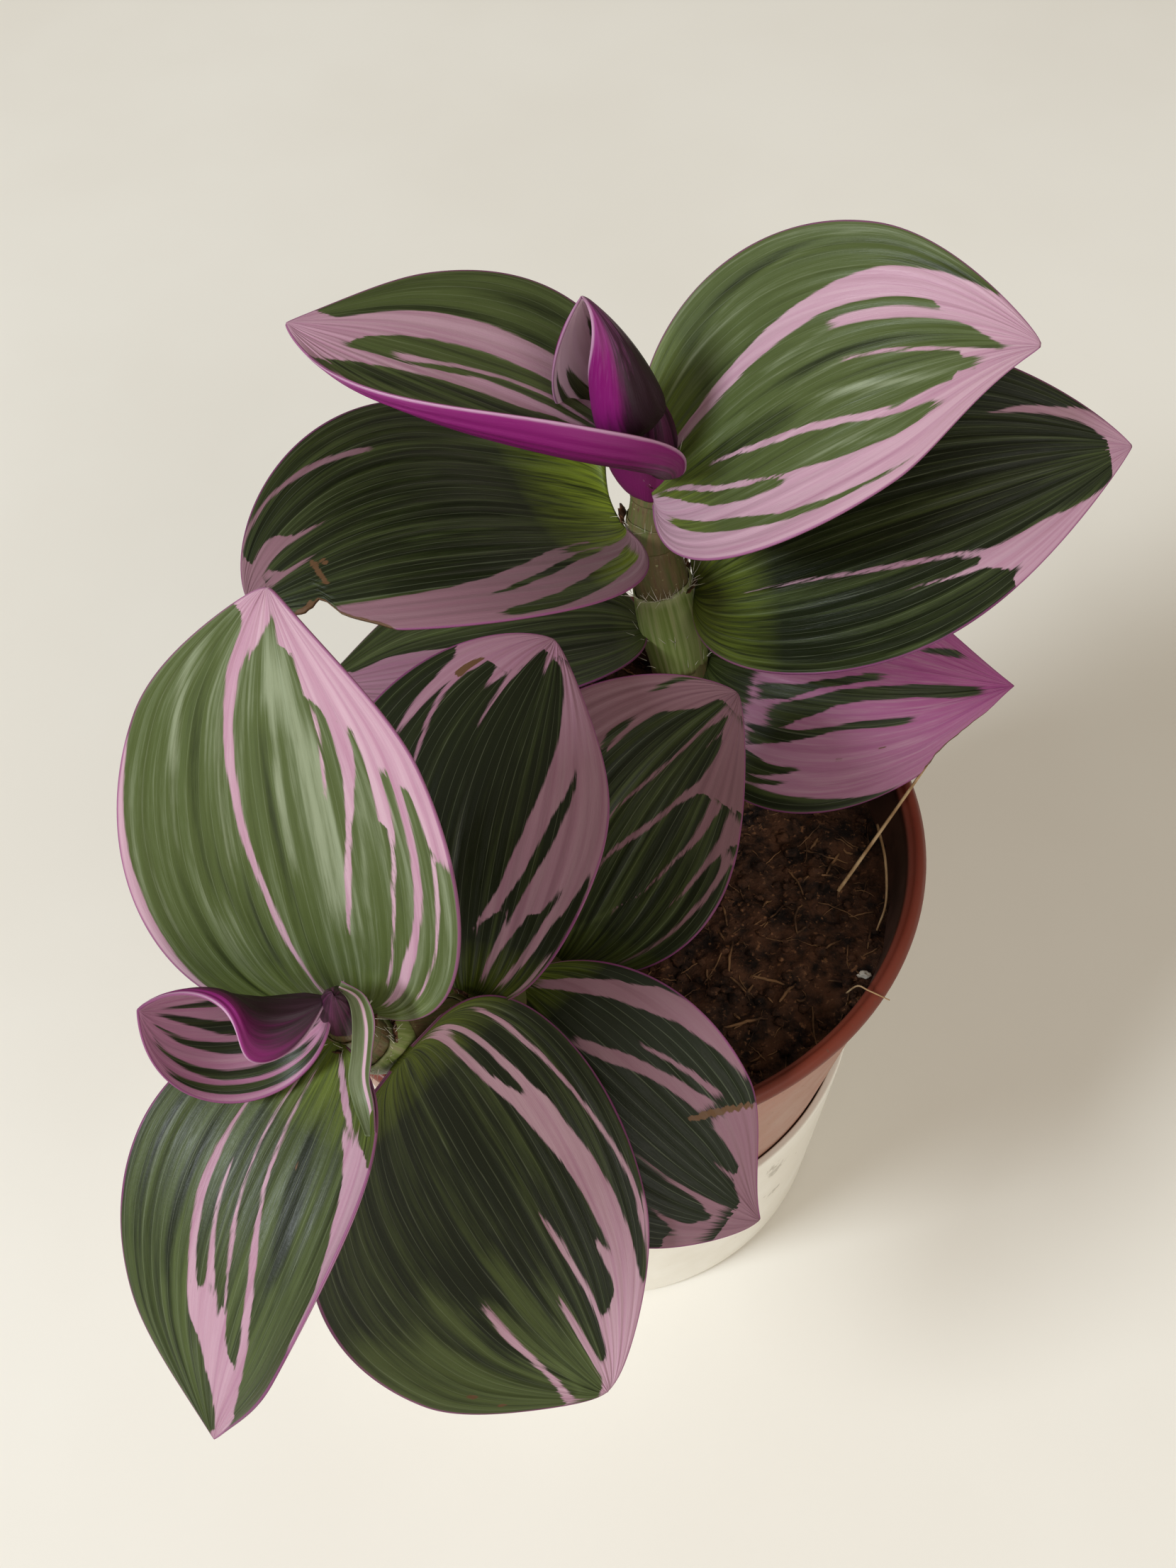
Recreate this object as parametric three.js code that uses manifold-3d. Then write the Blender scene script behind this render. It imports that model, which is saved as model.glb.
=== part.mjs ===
// Potted tradescantia: a tapered terracotta-coloured nursery pot standing in a plain white
// cup, filled with soil, with two leafy shoots. Millimetres, +Z up. The origin is the centre
// of the cup's flat underside and the shoots' open side faces -Y.

import * as THREE from "three";
import Module from "manifold-3d";

const wasm = await Module();
wasm.setup();
const { Manifold, Mesh } = wasm;

// Driving sizes.
const POT_HEIGHT = 83;          // nursery pot, underside to rim
const POT_TOP = 87;             // rim above the table
const RIM_RADIUS = 50;
const RIM_BAND = 2.4;           // height of the thicker band under the rim
const RIM_WALL = 2.0;
const WALL_UNDER_RIM = 48.7;    // outer radius just below the band
const POT_WALL = 1.6;
const POT_FOOT_RADIUS = 33.2;
const CUP_HEIGHT = 43;
const CUP_MOUTH_RADIUS = 42.2;
const CUP_FOOT_RADIUS = 38;
const CUP_WALL = 1.0;
const POT_SEAT_GAP = 0.3;       // between the pot's foot and the cup's floor
const CUP_FLOOR = POT_TOP - POT_HEIGHT - POT_SEAT_GAP;
const SOIL_TOP = 77;            // mean height of the soil surface
const SOIL_RELIEF = 1.6;
const ROUND_SIDES = 48;

const BLADE = 0.8;              // leaf thickness
const SLEEVE = 0.9;             // wall of the leaf sheath
const SLEEVE_RISE = 0.8;        // from the midrib's base up to the sheath's mouth
const SLEEVE_SPACE = 0.35;      // kept free round a sheath, for the other leaves
const BASE_PAD = 1.3;           // radius of the knob that joins a blade to its sheath
const REST_GAP = 0.4;           // between a leaf and the one that it rests on
const STEM_GAP = 0.3;           // clearance between a sheath and its stem
const STEM_SIDES = 12;
const SOIL_GAP = 0.4;           // clearance between the soil and the pot or a stem
const LEAF_ROWS = 15;
const LEAF_COLUMNS = 9;
const ROLLED_COLUMNS = 15;
const TAPER_FROM = 0.7;         // share of the length from which a tip is drawn in
const CLASP_TO = 0.35;          // share of the length up to which a base clasps its stem
const BASE_SHARE = 0.1;         // width of a blade where it leaves the sheath, of its full width

const COLOURS = {
  pot: 0xa5563c,
  cup: 0xe9e5da,
  soil: 0x4a3527,
  stem: 0x66703f,
  leaf: 0x5c7048,
  young: 0xa0408f,
};

const group = new THREE.Group();
group.name = "potted_tradescantia";

function toMesh(name, positions, indices, colour, roughness) {
  const geometry = new THREE.BufferGeometry();
  geometry.setAttribute("position", new THREE.Float32BufferAttribute(positions, 3));
  geometry.setIndex(indices);
  geometry.computeVertexNormals();
  const material = new THREE.MeshStandardMaterial({ color: colour, roughness, metalness: 0 });
  const mesh = new THREE.Mesh(geometry, material);
  mesh.name = name;
  group.add(mesh);
  return mesh;
}

function solid(positions, indices) {
  const mesh = new Mesh({
    numProp: 3,
    vertProperties: new Float32Array(positions),
    triVerts: new Uint32Array(indices),
  });
  mesh.merge();
  return new Manifold(mesh);
}

function addSolid(name, body, colour, roughness) {
  const pieces = body.decompose();
  pieces.sort((a, b) => b.volume() - a.volume());
  const mesh = pieces[0].getMesh();
  const positions = [];
  for (let i = 0; i < mesh.numVert; i += 1) {
    positions.push(
      mesh.vertProperties[i * mesh.numProp],
      mesh.vertProperties[i * mesh.numProp + 1],
      mesh.vertProperties[i * mesh.numProp + 2],
    );
  }
  toMesh(name, positions, Array.from(mesh.triVerts), colour, roughness);
}

// A body of revolution about Z from a closed or axis-to-axis profile of [radius, height].
function turned(profile, sides) {
  const closed = profile[0][0] > 0;
  const points = profile.map(([r, z]) => new THREE.Vector2(r, z));
  if (closed) {
    points.push(points[0].clone());
  }
  const lathe = new THREE.LatheGeometry(points, sides);
  const positions = [];
  const source = lathe.attributes.position;
  for (let i = 0; i < source.count; i += 1) {
    positions.push(source.getX(i), -source.getZ(i), source.getY(i));
  }
  const merged = new Map();
  const remap = [];
  const out = [];
  for (let i = 0; i < positions.length; i += 3) {
    const key = [0, 1, 2].map((k) => Math.round(positions[i + k] * 1e4)).join(",");
    if (!merged.has(key)) {
      merged.set(key, out.length / 3);
      out.push(positions[i], positions[i + 1], positions[i + 2]);
    }
    remap.push(merged.get(key));
  }
  const indices = [];
  const index = lathe.index.array;
  for (let i = 0; i < index.length; i += 3) {
    const a = remap[index[i]];
    const b = remap[index[i + 1]];
    const c = remap[index[i + 2]];
    if (a !== b && b !== c && a !== c) {
      indices.push(a, b, c);
    }
  }
  let body = solid(out, indices);
  if (body.volume() < 0) {
    const flipped = [];
    for (let i = 0; i < indices.length; i += 3) {
      flipped.push(indices[i], indices[i + 2], indices[i + 1]);
    }
    body = solid(out, flipped);
  }
  return body;
}

// Each stem is a round, slightly zigzag shoot; radius falls from the soil to the tip.
const STEMS = {
  stem_a: {
    points: [
      [17.5, 27.5, 70], [16, 30, 87], [13.5, 33.5, 102], [11.5, 35.5, 113],
      [12, 37, 122], [12.4, 38.2, 130], [11.9, 38.8, 137.2],
    ],
    footRadius: 4.6,
    tipRadius: 2.2,
  },
  stem_b: {
    points: [
      [3, -11, 70], [-4, -20, 84], [-11, -29.5, 93], [-19.5, -41.5, 105],
      [-27, -49.5, 116], [-30, -51.6, 123], [-30, -53.2, 130], [-29.6, -55.3, 136.8],
    ],
    footRadius: 4.2,
    tipRadius: 1.7,
  },
};

function stemCurve(stem) {
  return new THREE.CatmullRomCurve3(stem.points.map((p) => new THREE.Vector3(...p)));
}

// The place on a stem at a given height, with its direction and radius there.
function stemAt(stem, height) {
  const curve = stemCurve(stem);
  let low = 0;
  let high = 1;
  for (let i = 0; i < 40; i += 1) {
    const middle = (low + high) / 2;
    if (curve.getPoint(middle).z < height) {
      low = middle;
    } else {
      high = middle;
    }
  }
  const t = (low + high) / 2;
  return { point: curve.getPoint(t), along: curve.getTangent(t), radius: stemRadius(stem, t) };
}

function stemRadius(stem, t) {
  return stem.footRadius + (stem.tipRadius - stem.footRadius) * t ** 3;
}

// A swept round bar along a curve, with a flat cap at each end.
function bar(curve, radiusAt, steps, sides) {
  const positions = [];
  const indices = [];
  let across = new THREE.Vector3(1, 0, 0);
  for (let i = 0; i <= steps; i += 1) {
    const t = i / steps;
    const centre = curve.getPoint(t);
    const along = curve.getTangent(t).normalize();
    across = across.clone().sub(along.clone().multiplyScalar(across.dot(along))).normalize();
    const other = along.clone().cross(across);
    for (let k = 0; k < sides; k += 1) {
      const angle = (2 * Math.PI * k) / sides;
      const r = radiusAt(t);
      const p = centre.clone();
      p.addScaledVector(across, r * Math.cos(angle));
      p.addScaledVector(other, r * Math.sin(angle));
      positions.push(p.x, p.y, p.z);
    }
  }
  for (let i = 0; i < steps; i += 1) {
    for (let k = 0; k < sides; k += 1) {
      const a = i * sides + k;
      const b = i * sides + ((k + 1) % sides);
      indices.push(a, b, a + sides);
      indices.push(b, b + sides, a + sides);
    }
  }
  const last = steps * sides;
  for (let k = 1; k < sides - 1; k += 1) {
    indices.push(0, k + 1, k);
    indices.push(last, last + k, last + k + 1);
  }
  return solid(positions, indices);
}

function stemBody(stem, extra) {
  if (extra > 0) {
    const points = stem.points.map((p) => [...p]);
    points[0][2] -= 0.4;
    points[points.length - 1][2] += 0.4;
    const longer = new THREE.CatmullRomCurve3(points.map((p) => new THREE.Vector3(...p)));
    return bar(longer, (t) => stemRadius(stem, t) + extra, 18, STEM_SIDES);
  }
  return bar(stemCurve(stem), (t) => stemRadius(stem, t) + extra, 18, STEM_SIDES);
}

// Leaves. base: where the midrib leaves the stem. azimuth and pitch: direction of the straight line
// from base to tip, in degrees from +X and above the horizontal. roll: turn about that line.
// arch: how far the midrib bows out of the line, greatest at archAt of the length. sway: the
// same, sideways. cupBase, cupTip: half angle of the trough across the blade at its two ends.
// curlLeft, curlRight: further turn of one edge, starting at curlFrom of the half width.
// taperLeft, taperRight: how much narrower one half is drawn at the very tip. claspLeft,
// claspRight: how much further one half stands up, or hangs down, at the base. baseLeft,
// baseRight: width of one half at the sheath, of its full width. widerRight: width of the
// right half against the left one. restsOn: the leaf that this one lies against; where the two
// would cross, this one ends just above it.
const LEAVES = {
  leaf_a1: {
    stem: "stem_a", sleeve: 4.4, base: [11.5, 33, 125], azimuth: -10, pitch: 32, length: 59.5,
    width: 47, roll: 17, arch: 8, archAt: 0.62, sway: -3, twist: 21, widest: 0.38,
    fullness: 1.15, cupBase: 33, cupTip: -6,
    taperLeft: 0.35, taperRight: 0.55,
  },
  leaf_a2: {
    stem: "stem_a", sleeve: 4.2, base: [11, 34, 129.5], azimuth: 174.6, pitch: 28, length: 55,
    width: 43.8, roll: 8.5, arch: 3, archAt: 0.42, sway: -1.8, twist: -26, widest: 0.37,
    fullness: 1.37, cupBase: 53, cupTip: 7, curlLeft: 73, curlFrom: 0.4, columns: 11,
    taperRight: 0.3, claspLeft: 20, baseLeft: 0.35,
  },
  leaf_a3: {
    stem: "stem_a", sleeve: 3, base: [12.9, 39.6, 136.5], azimuth: -159.4, pitch: 63.8,
    length: 25.4,
    width: 28.6, roll: -148.4, arch: -1.5, archAt: 0.45, sway: -1.8, twist: 26.3, widest: 0.3,
    fullness: 1.54, cupBase: 110, cupTip: 70, curlLeft: 15, curlRight: 147, curlFrom: 0.01,
    widerRight: 1.5, restsOn: "leaf_a2", columns: ROLLED_COLUMNS,
  },
  leaf_a4: {
    stem: "stem_a", sleeve: 4.5, base: [7, 35.5, 117], azimuth: -154.5, pitch: 13.5, length: 59,
    width: 47, roll: 1, arch: 7, archAt: 0.62, sway: 1.5, twist: -22, widest: 0.39,
    fullness: 1.05, cupBase: 21, cupTip: 5, claspRight: 55, baseRight: 0.55,
  },
  leaf_a5: {
    stem: "stem_a", sleeve: 4.5, base: [18, 33, 105], azimuth: -2, pitch: 23.5, length: 67,
    width: 49, roll: 22.5, arch: 10.5, archAt: 0.44, sway: 0, twist: 31, widest: 0.38,
    fullness: 1.45, cupBase: 23, cupTip: 4,
  },
  leaf_a6: {
    stem: "stem_a", sleeve: 4, base: [20, 30, 92], azimuth: -16, pitch: 5.5, length: 47.5,
    width: 40, roll: 47, arch: 8.5, archAt: 0.44, sway: 2, twist: 2, widest: 0.33,
    fullness: 1.45, cupBase: 21, cupTip: 3,
    taperLeft: 0.15, taperRight: 0.4,
  },
  leaf_a7: {
    stem: "stem_a", sleeve: 3.4, base: [10, 32, 97], azimuth: -175, pitch: -4, length: 51.5,
    width: 35, roll: 10, arch: 2, archAt: 0.45, sway: 0, twist: 1, widest: 0.42,
    fullness: 1.15, cupBase: 21, cupTip: 5,
    taperLeft: 0.15, taperRight: 0.6,
  },
  leaf_b1: {
    stem: "stem_b", sleeve: 4, base: [-30, -48.5, 124], azimuth: 95.5, pitch: 70.5, length: 56,
    width: 43, roll: -25, arch: 2.5, archAt: 0.35, sway: -1, twist: -14, widest: 0.42,
    fullness: 1.1, cupBase: 38, cupTip: 2,
    taperLeft: 0.4, taperRight: 0.6,
  },
  leaf_b2: {
    stem: "stem_b", sleeve: 8, base: [-30.7, -54.9, 136.2], azimuth: -169.5, pitch: 16.7,
    length: 20.7,
    width: 26, roll: -99.5, arch: -2, archAt: 0.45, sway: -5, twist: 60, widest: 0.41,
    fullness: 1.57, cupBase: 118, cupTip: 10, curlLeft: 6, curlRight: 91, curlFrom: 0.01,
    columns: ROLLED_COLUMNS,
  },
  leaf_b3: {
    stem: "stem_b", sleeve: 2.6, base: [-31, -54.6, 126], azimuth: -118, pitch: -41, length: 51.5,
    width: 33, roll: 6, arch: 6.5, archAt: 0.52, sway: 1.5, twist: 11, widest: 0.38,
    fullness: 1.35, cupBase: 20, cupTip: 6, curlLeft: 55, curlFrom: 0.45, claspRight: -40,
    columns: 11, taperLeft: 0.4, taperRight: 0.5,
  },
  leaf_b4: {
    stem: "stem_b", sleeve: 4.5, base: [-24.5, -53, 118], azimuth: -49, pitch: -54, length: 58,
    width: 48, roll: -10, arch: -3, archAt: 0.43, sway: 1, twist: 35, widest: 0.36,
    fullness: 0.9, cupBase: 2, cupTip: 9,
    taperLeft: 0.3, taperRight: 0.4,
  },
  leaf_b5: {
    stem: "stem_b", sleeve: 4.5, base: [-18, -37.2, 104.5], azimuth: 71, pitch: 27.5, length: 49.5,
    width: 37.5, roll: -2.5, arch: 10.5, archAt: 0.44, sway: -2.5, twist: 31, widest: 0.41,
    fullness: 1.27, cupBase: 25, cupTip: 3.5,
  },
  leaf_b6: {
    stem: "stem_b", sleeve: 4.2, base: [-6.5, -24.5, 92], azimuth: 47, pitch: 26, length: 46,
    width: 38, roll: 14.5, arch: 6.5, archAt: 0.45, sway: -3.5, twist: 2, widest: 0.38,
    fullness: 1.24, cupBase: 22, cupTip: 4,
  },
  leaf_b7: {
    stem: "stem_b", sleeve: 3.4, base: [-12.5, -32, 98.5], azimuth: -40, pitch: -25, length: 46.5,
    width: 34, roll: 28, arch: 3.5, archAt: 0.44, sway: 1.5, twist: 6, widest: 0.45,
    fullness: 1.14, cupBase: 8, cupTip: 3,
    taperLeft: 0.8, taperRight: 0.25,
  },
};

const radians = (degrees) => (degrees * Math.PI) / 180;

// Running sums of cosine and sine of the blade's slope, from the midrib out to one edge.
function crossSection(cup, curl, curlFrom) {
  const steps = 60;
  const rows = [[0, 0]];
  const slope = (v) => {
    const outer = Math.max(0, (v - curlFrom) / (1 - curlFrom));
    return cup * v + curl * outer ** 1.5;
  };
  for (let i = 1; i <= steps; i += 1) {
    const before = slope((i - 1) / steps);
    const now = slope(i / steps);
    const [x, y] = rows[i - 1];
    rows.push([
      x + (Math.cos(before) + Math.cos(now)) / (2 * steps),
      y + (Math.sin(before) + Math.sin(now)) / (2 * steps),
    ]);
  }
  return (v) => {
    const at = Math.min(steps, v * steps);
    const low = Math.min(steps - 1, Math.floor(at));
    const part = at - low;
    return [
      rows[low][0] * (1 - part) + rows[low + 1][0] * part,
      rows[low][1] * (1 - part) + rows[low + 1][1] * part,
    ];
  };
}

// The blade's middle surface as rows of points from base to tip.
function bladeRows(leaf, rowCount, columnCount) {
  const base = new THREE.Vector3(...leaf.base);
  const azimuth = radians(leaf.azimuth);
  const pitch = radians(leaf.pitch);
  const along = new THREE.Vector3(
    Math.cos(pitch) * Math.cos(azimuth),
    Math.cos(pitch) * Math.sin(azimuth),
    Math.sin(pitch),
  );
  const upright = new THREE.Vector3(0, 0, 1);
  upright.addScaledVector(along, -along.z).normalize();
  const level = along.clone().cross(upright);
  const roll = radians(leaf.roll);
  const face = upright.clone().multiplyScalar(Math.cos(roll));
  face.addScaledVector(level, Math.sin(roll));
  const side = along.clone().cross(face);
  const bend = Math.log(0.5) / Math.log(leaf.archAt);
  const midrib = (u) => {
    const w = u ** bend;
    const p = base.clone().addScaledVector(along, u * leaf.length);
    p.addScaledVector(face, 4 * w * (1 - w) * leaf.arch);
    p.addScaledVector(side, 4 * u * (1 - u) * leaf.sway);
    return p;
  };
  const rows = [];
  for (let i = 0; i < rowCount; i += 1) {
    const u = 1 - (1 - i / (rowCount - 1)) ** 1.15;
    const here = midrib(u);
    const ahead = midrib(Math.min(1, u + 0.01));
    const behind = midrib(Math.max(0, u - 0.01));
    const tangent = ahead.sub(behind).normalize();
    const normal = face.clone().addScaledVector(tangent, -face.dot(tangent)).normalize();
    const across = tangent.clone().cross(normal);
    const twist = radians(leaf.twist) * (u - 0.3);
    const top = normal.clone().multiplyScalar(Math.cos(twist));
    top.addScaledVector(across, Math.sin(twist));
    const wide = tangent.clone().cross(top);
    const a = leaf.fullness * leaf.widest;
    const b = leaf.fullness * (1 - leaf.widest);
    const outline = (u / leaf.widest) ** a * ((1 - u) / (1 - leaf.widest)) ** b;
    const halfWith = (share) => (leaf.width / 2) * Math.hypot(outline, share * (1 - u) ** 2);
    const claspShare = Math.max(0, 1 - u / CLASP_TO) ** 2;
    const cup = radians(leaf.cupBase) * (1 - u) + radians(leaf.cupTip) * u;
    const claspRight = radians(leaf.claspRight || 0) * claspShare;
    const claspLeft = radians(leaf.claspLeft || 0) * claspShare;
    const fade = Math.sqrt(Math.max(0, Math.sin(Math.PI * u)));
    const from = leaf.curlFrom || 0.5;
    const right = crossSection(cup + claspRight, radians(leaf.curlRight || 0) * fade, from);
    const left = crossSection(cup + claspLeft, radians(leaf.curlLeft || 0) * fade, from);
    const near = Math.max(0, (u - TAPER_FROM) / (1 - TAPER_FROM)) ** 2;
    const halfLeft = halfWith(leaf.baseLeft || BASE_SHARE) * (1 - (leaf.taperLeft || 0) * near);
    const halfRight = halfWith(leaf.baseRight || BASE_SHARE) * (leaf.widerRight || 1)
      * (1 - (leaf.taperRight || 0) * near);
    const row = [];
    for (let j = 0; j < columnCount; j += 1) {
      const v = -1 + (2 * j) / (columnCount - 1);
      const [x, y] = (v < 0 ? left : right)(Math.abs(v));
      const reach = v < 0 ? halfLeft : halfRight;
      const p = here.clone().addScaledVector(wide, reach * x * Math.sign(v));
      p.addScaledVector(top, reach * y);
      row.push(p);
    }
    rows.push(row);
  }
  return rows;
}

// The blade as a closed plate: both faces split along the same diagonals.
function bladeBody(leaf, thickness = BLADE) {
  const columns = leaf.columns || LEAF_COLUMNS;
  const rows = bladeRows(leaf, LEAF_ROWS, columns);
  const last = LEAF_ROWS - 1;
  const normals = rows.map((row, i) => row.map((p, j) => {
    const up = rows[Math.min(last - 1, i + 1)][j].clone().sub(rows[Math.max(0, i - 1)][j]);
    const over = row[Math.min(columns - 1, j + 1)].clone().sub(row[Math.max(0, j - 1)]);
    if (over.lengthSq() < 1e-9) {
      return null;
    }
    return over.cross(up).normalize();
  }));
  const positions = [];
  const indices = [];
  const put = (p) => positions.push(p.x, p.y, p.z);
  for (const sign of [0.5, -0.5]) {
    for (let i = 0; i < last; i += 1) {
      for (let j = 0; j < columns; j += 1) {
        put(rows[i][j].clone().addScaledVector(normals[i][j], sign * thickness));
      }
    }
  }
  const tipNormal = normals[last - 1][(columns - 1) / 2];
  put(rows[last][0].clone().addScaledVector(tipNormal, 0.5 * thickness));
  put(rows[last][0].clone().addScaledVector(tipNormal, -0.5 * thickness));
  const count = last * columns;
  const topTip = 2 * count;
  const underTip = 2 * count + 1;
  for (let i = 0; i < last - 1; i += 1) {
    for (let j = 0; j < columns - 1; j += 1) {
      const a = i * columns + j;
      const c = a + columns;
      indices.push(a, a + 1, c + 1);
      indices.push(a, c + 1, c);
      indices.push(count + a, count + c + 1, count + a + 1);
      indices.push(count + a, count + c, count + c + 1);
    }
  }
  const edge = (a, b) => {
    indices.push(a, count + a, count + b);
    indices.push(a, count + b, b);
  };
  for (let i = 0; i < last - 1; i += 1) {
    edge((i + 1) * columns, i * columns);
    edge(i * columns + columns - 1, (i + 1) * columns + columns - 1);
  }
  for (let j = 0; j < columns - 1; j += 1) {
    edge(j, j + 1);
  }
  const end = (last - 1) * columns;
  for (let j = 0; j < columns - 1; j += 1) {
    indices.push(end + j, end + j + 1, topTip);
    indices.push(count + end + j + 1, count + end + j, underTip);
  }
  indices.push(end + columns - 1, count + end + columns - 1, underTip);
  indices.push(end + columns - 1, underTip, topTip);
  indices.push(count + end, end, topTip);
  indices.push(count + end, topTip, underTip);
  return solid(positions, indices);
}

// The short tube by which a leaf clasps its stem, and the space to be kept round it.
function sleeveBodies(leaf) {
  const stem = STEMS[leaf.stem];
  const mouth = leaf.base[2] + SLEEVE_RISE;
  const top = stemAt(stem, mouth);
  const foot = stemAt(stem, mouth - leaf.sleeve);
  const line = new THREE.LineCurve3(foot.point, top.point);
  const reach = top.point.clone().sub(foot.point).setLength(SLEEVE_SPACE);
  const space = new THREE.LineCurve3(foot.point.clone().sub(reach), top.point.clone().add(reach));
  const wide = (extra) => (t) => foot.radius + (top.radius - foot.radius) * t + extra;
  const outer = bar(line, wide(STEM_GAP + SLEEVE), 1, STEM_SIDES);
  const grown = bar(space, wide(STEM_GAP + SLEEVE + SLEEVE_SPACE), 1, STEM_SIDES);
  return { outer, grown };
}

const stemBodies = {};
const stemSpaces = {};
for (const [name, stem] of Object.entries(STEMS)) {
  stemBodies[name] = stemBody(stem, 0);
  stemSpaces[name] = stemBody(stem, STEM_GAP);
}

const sleeves = {};
for (const [name, leaf] of Object.entries(LEAVES)) {
  sleeves[name] = sleeveBodies(leaf);
}

for (const [name, leaf] of Object.entries(LEAVES)) {
  const pad = Manifold.sphere(BASE_PAD, 10).translate(leaf.base);
  let body = Manifold.union([bladeBody(leaf), sleeves[name].outer, pad]);
  body = body.subtract(stemSpaces[leaf.stem]);
  for (const [other, entry] of Object.entries(sleeves)) {
    if (other !== name && LEAVES[other].stem === leaf.stem) {
      body = body.subtract(entry.grown);
    }
  }
  if (leaf.restsOn) {
    const under = LEAVES[leaf.restsOn];
    const wider = { ...under, width: under.width + 3 * REST_GAP };
    const space = bladeBody(wider, BLADE + 2 * REST_GAP);
    body = body.subtract(space).simplify(0.02);
  }
  const rolled = leaf.columns === ROLLED_COLUMNS;
  addSolid(name, body, rolled ? COLOURS.young : COLOURS.leaf, 0.55);
}

for (const [name, body] of Object.entries(stemBodies)) {
  addSolid(name, body, COLOURS.stem, 0.6);
}

// Pot and cup: bodies of revolution.
const potFoot = POT_TOP - POT_HEIGHT;
const bandFoot = POT_TOP - RIM_BAND;
const wallSlope = (WALL_UNDER_RIM - POT_FOOT_RADIUS) / (bandFoot - potFoot);
const potOuter = (z) => POT_FOOT_RADIUS + wallSlope * (z - potFoot);
const potInner = (z) => potOuter(z) - POT_WALL;
const potFloor = potFoot + 2;

addSolid("pot", turned([
  [0, potFoot],
  [POT_FOOT_RADIUS, potFoot],
  [potOuter(bandFoot - 0.4), bandFoot - 0.4],
  [RIM_RADIUS - 0.7, bandFoot],
  [RIM_RADIUS, bandFoot + 0.9],
  [RIM_RADIUS, POT_TOP - 0.9],
  [RIM_RADIUS - 0.7, POT_TOP],
  [RIM_RADIUS - RIM_WALL + 0.5, POT_TOP],
  [RIM_RADIUS - RIM_WALL, POT_TOP - 0.7],
  [potInner(bandFoot) + 0.2, bandFoot + 1.4],
  [potInner(bandFoot - 1), bandFoot - 1],
  [potInner(potFloor), potFloor],
  [0, potFloor],
], ROUND_SIDES), COLOURS.pot, 0.55);

addSolid("outer_cup", turned([
  [0, 0],
  [CUP_FOOT_RADIUS - 0.8, 0],
  [CUP_FOOT_RADIUS, 0.8],
  [CUP_MOUTH_RADIUS, CUP_HEIGHT - 0.5],
  [CUP_MOUTH_RADIUS - 0.3, CUP_HEIGHT],
  [CUP_MOUTH_RADIUS - CUP_WALL + 0.2, CUP_HEIGHT],
  [CUP_MOUTH_RADIUS - CUP_WALL, CUP_HEIGHT - 0.4],
  [CUP_FOOT_RADIUS - CUP_WALL, CUP_FLOOR],
  [0, CUP_FLOOR],
], ROUND_SIDES), COLOURS.cup, 0.35);

// Soil: a plug that follows the pot's taper, with a crumbly top.
function soilHeight(x, y) {
  const broad = Math.sin(x * 0.11 + 1.3) * Math.cos(y * 0.13 - 0.4);
  const small = Math.sin(x * 0.43 + y * 0.21) * Math.cos(y * 0.37 - x * 0.18 + 0.8);
  const edge = Math.max(0, Math.hypot(x, y) / 45 - 0.8);
  return SOIL_TOP + SOIL_RELIEF * (0.55 * broad + 0.45 * small) - 4 * edge;
}

function soilBody() {
  const rings = 7;
  const sides = ROUND_SIDES;
  const topRadius = potInner(SOIL_TOP - 1) - SOIL_GAP;
  const footRadius = potInner(potFloor) - SOIL_GAP;
  const positions = [0, 0, soilHeight(0, 0)];
  const indices = [];
  const cosine = (k) => Math.cos((2 * Math.PI * k) / sides);
  const sine = (k) => Math.sin((2 * Math.PI * k) / sides);
  for (let i = 1; i <= rings; i += 1) {
    const r = (topRadius * i) / rings;
    for (let k = 0; k < sides; k += 1) {
      const x = r * cosine(k);
      const y = r * sine(k);
      positions.push(x, y, soilHeight(x, y));
    }
  }
  for (let k = 0; k < sides; k += 1) {
    positions.push(footRadius * cosine(k), footRadius * sine(k), potFloor + 0.3);
  }
  positions.push(0, 0, potFloor + 0.3);
  const next = (k) => (k + 1) % sides;
  for (let k = 0; k < sides; k += 1) {
    indices.push(0, 1 + k, 1 + next(k));
    for (let i = 0; i < rings; i += 1) {
      const a = 1 + i * sides;
      indices.push(a + k, a + sides + k, a + sides + next(k));
      indices.push(a + k, a + sides + next(k), a + next(k));
    }
    const foot = 1 + rings * sides;
    indices.push(foot + k, foot + sides, foot + next(k));
  }
  return solid(positions, indices);
}

let soil = soilBody();
for (const stem of Object.values(STEMS)) {
  soil = soil.subtract(stemBody(stem, SOIL_GAP));
}
addSolid("soil", soil, COLOURS.soil, 0.95);

export default group;
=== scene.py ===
# %% [markdown]
# # A potted tradescantia
# Two leaning shoots of a tradescantia with broad, striped leaves grow in a terracotta-coloured
# nursery pot, and the pot stands in a thin white cup. Everything is in metres in Blender, but
# the real sizes are easier to read in millimetres, so points are made in millimetres and
# scaled by `MM` when a mesh is made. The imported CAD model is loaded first: it is the frame
# that every finer piece has to fit.

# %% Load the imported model
import math
import bpy
import numpy as np
from mathutils import Matrix, Vector, noise


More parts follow.
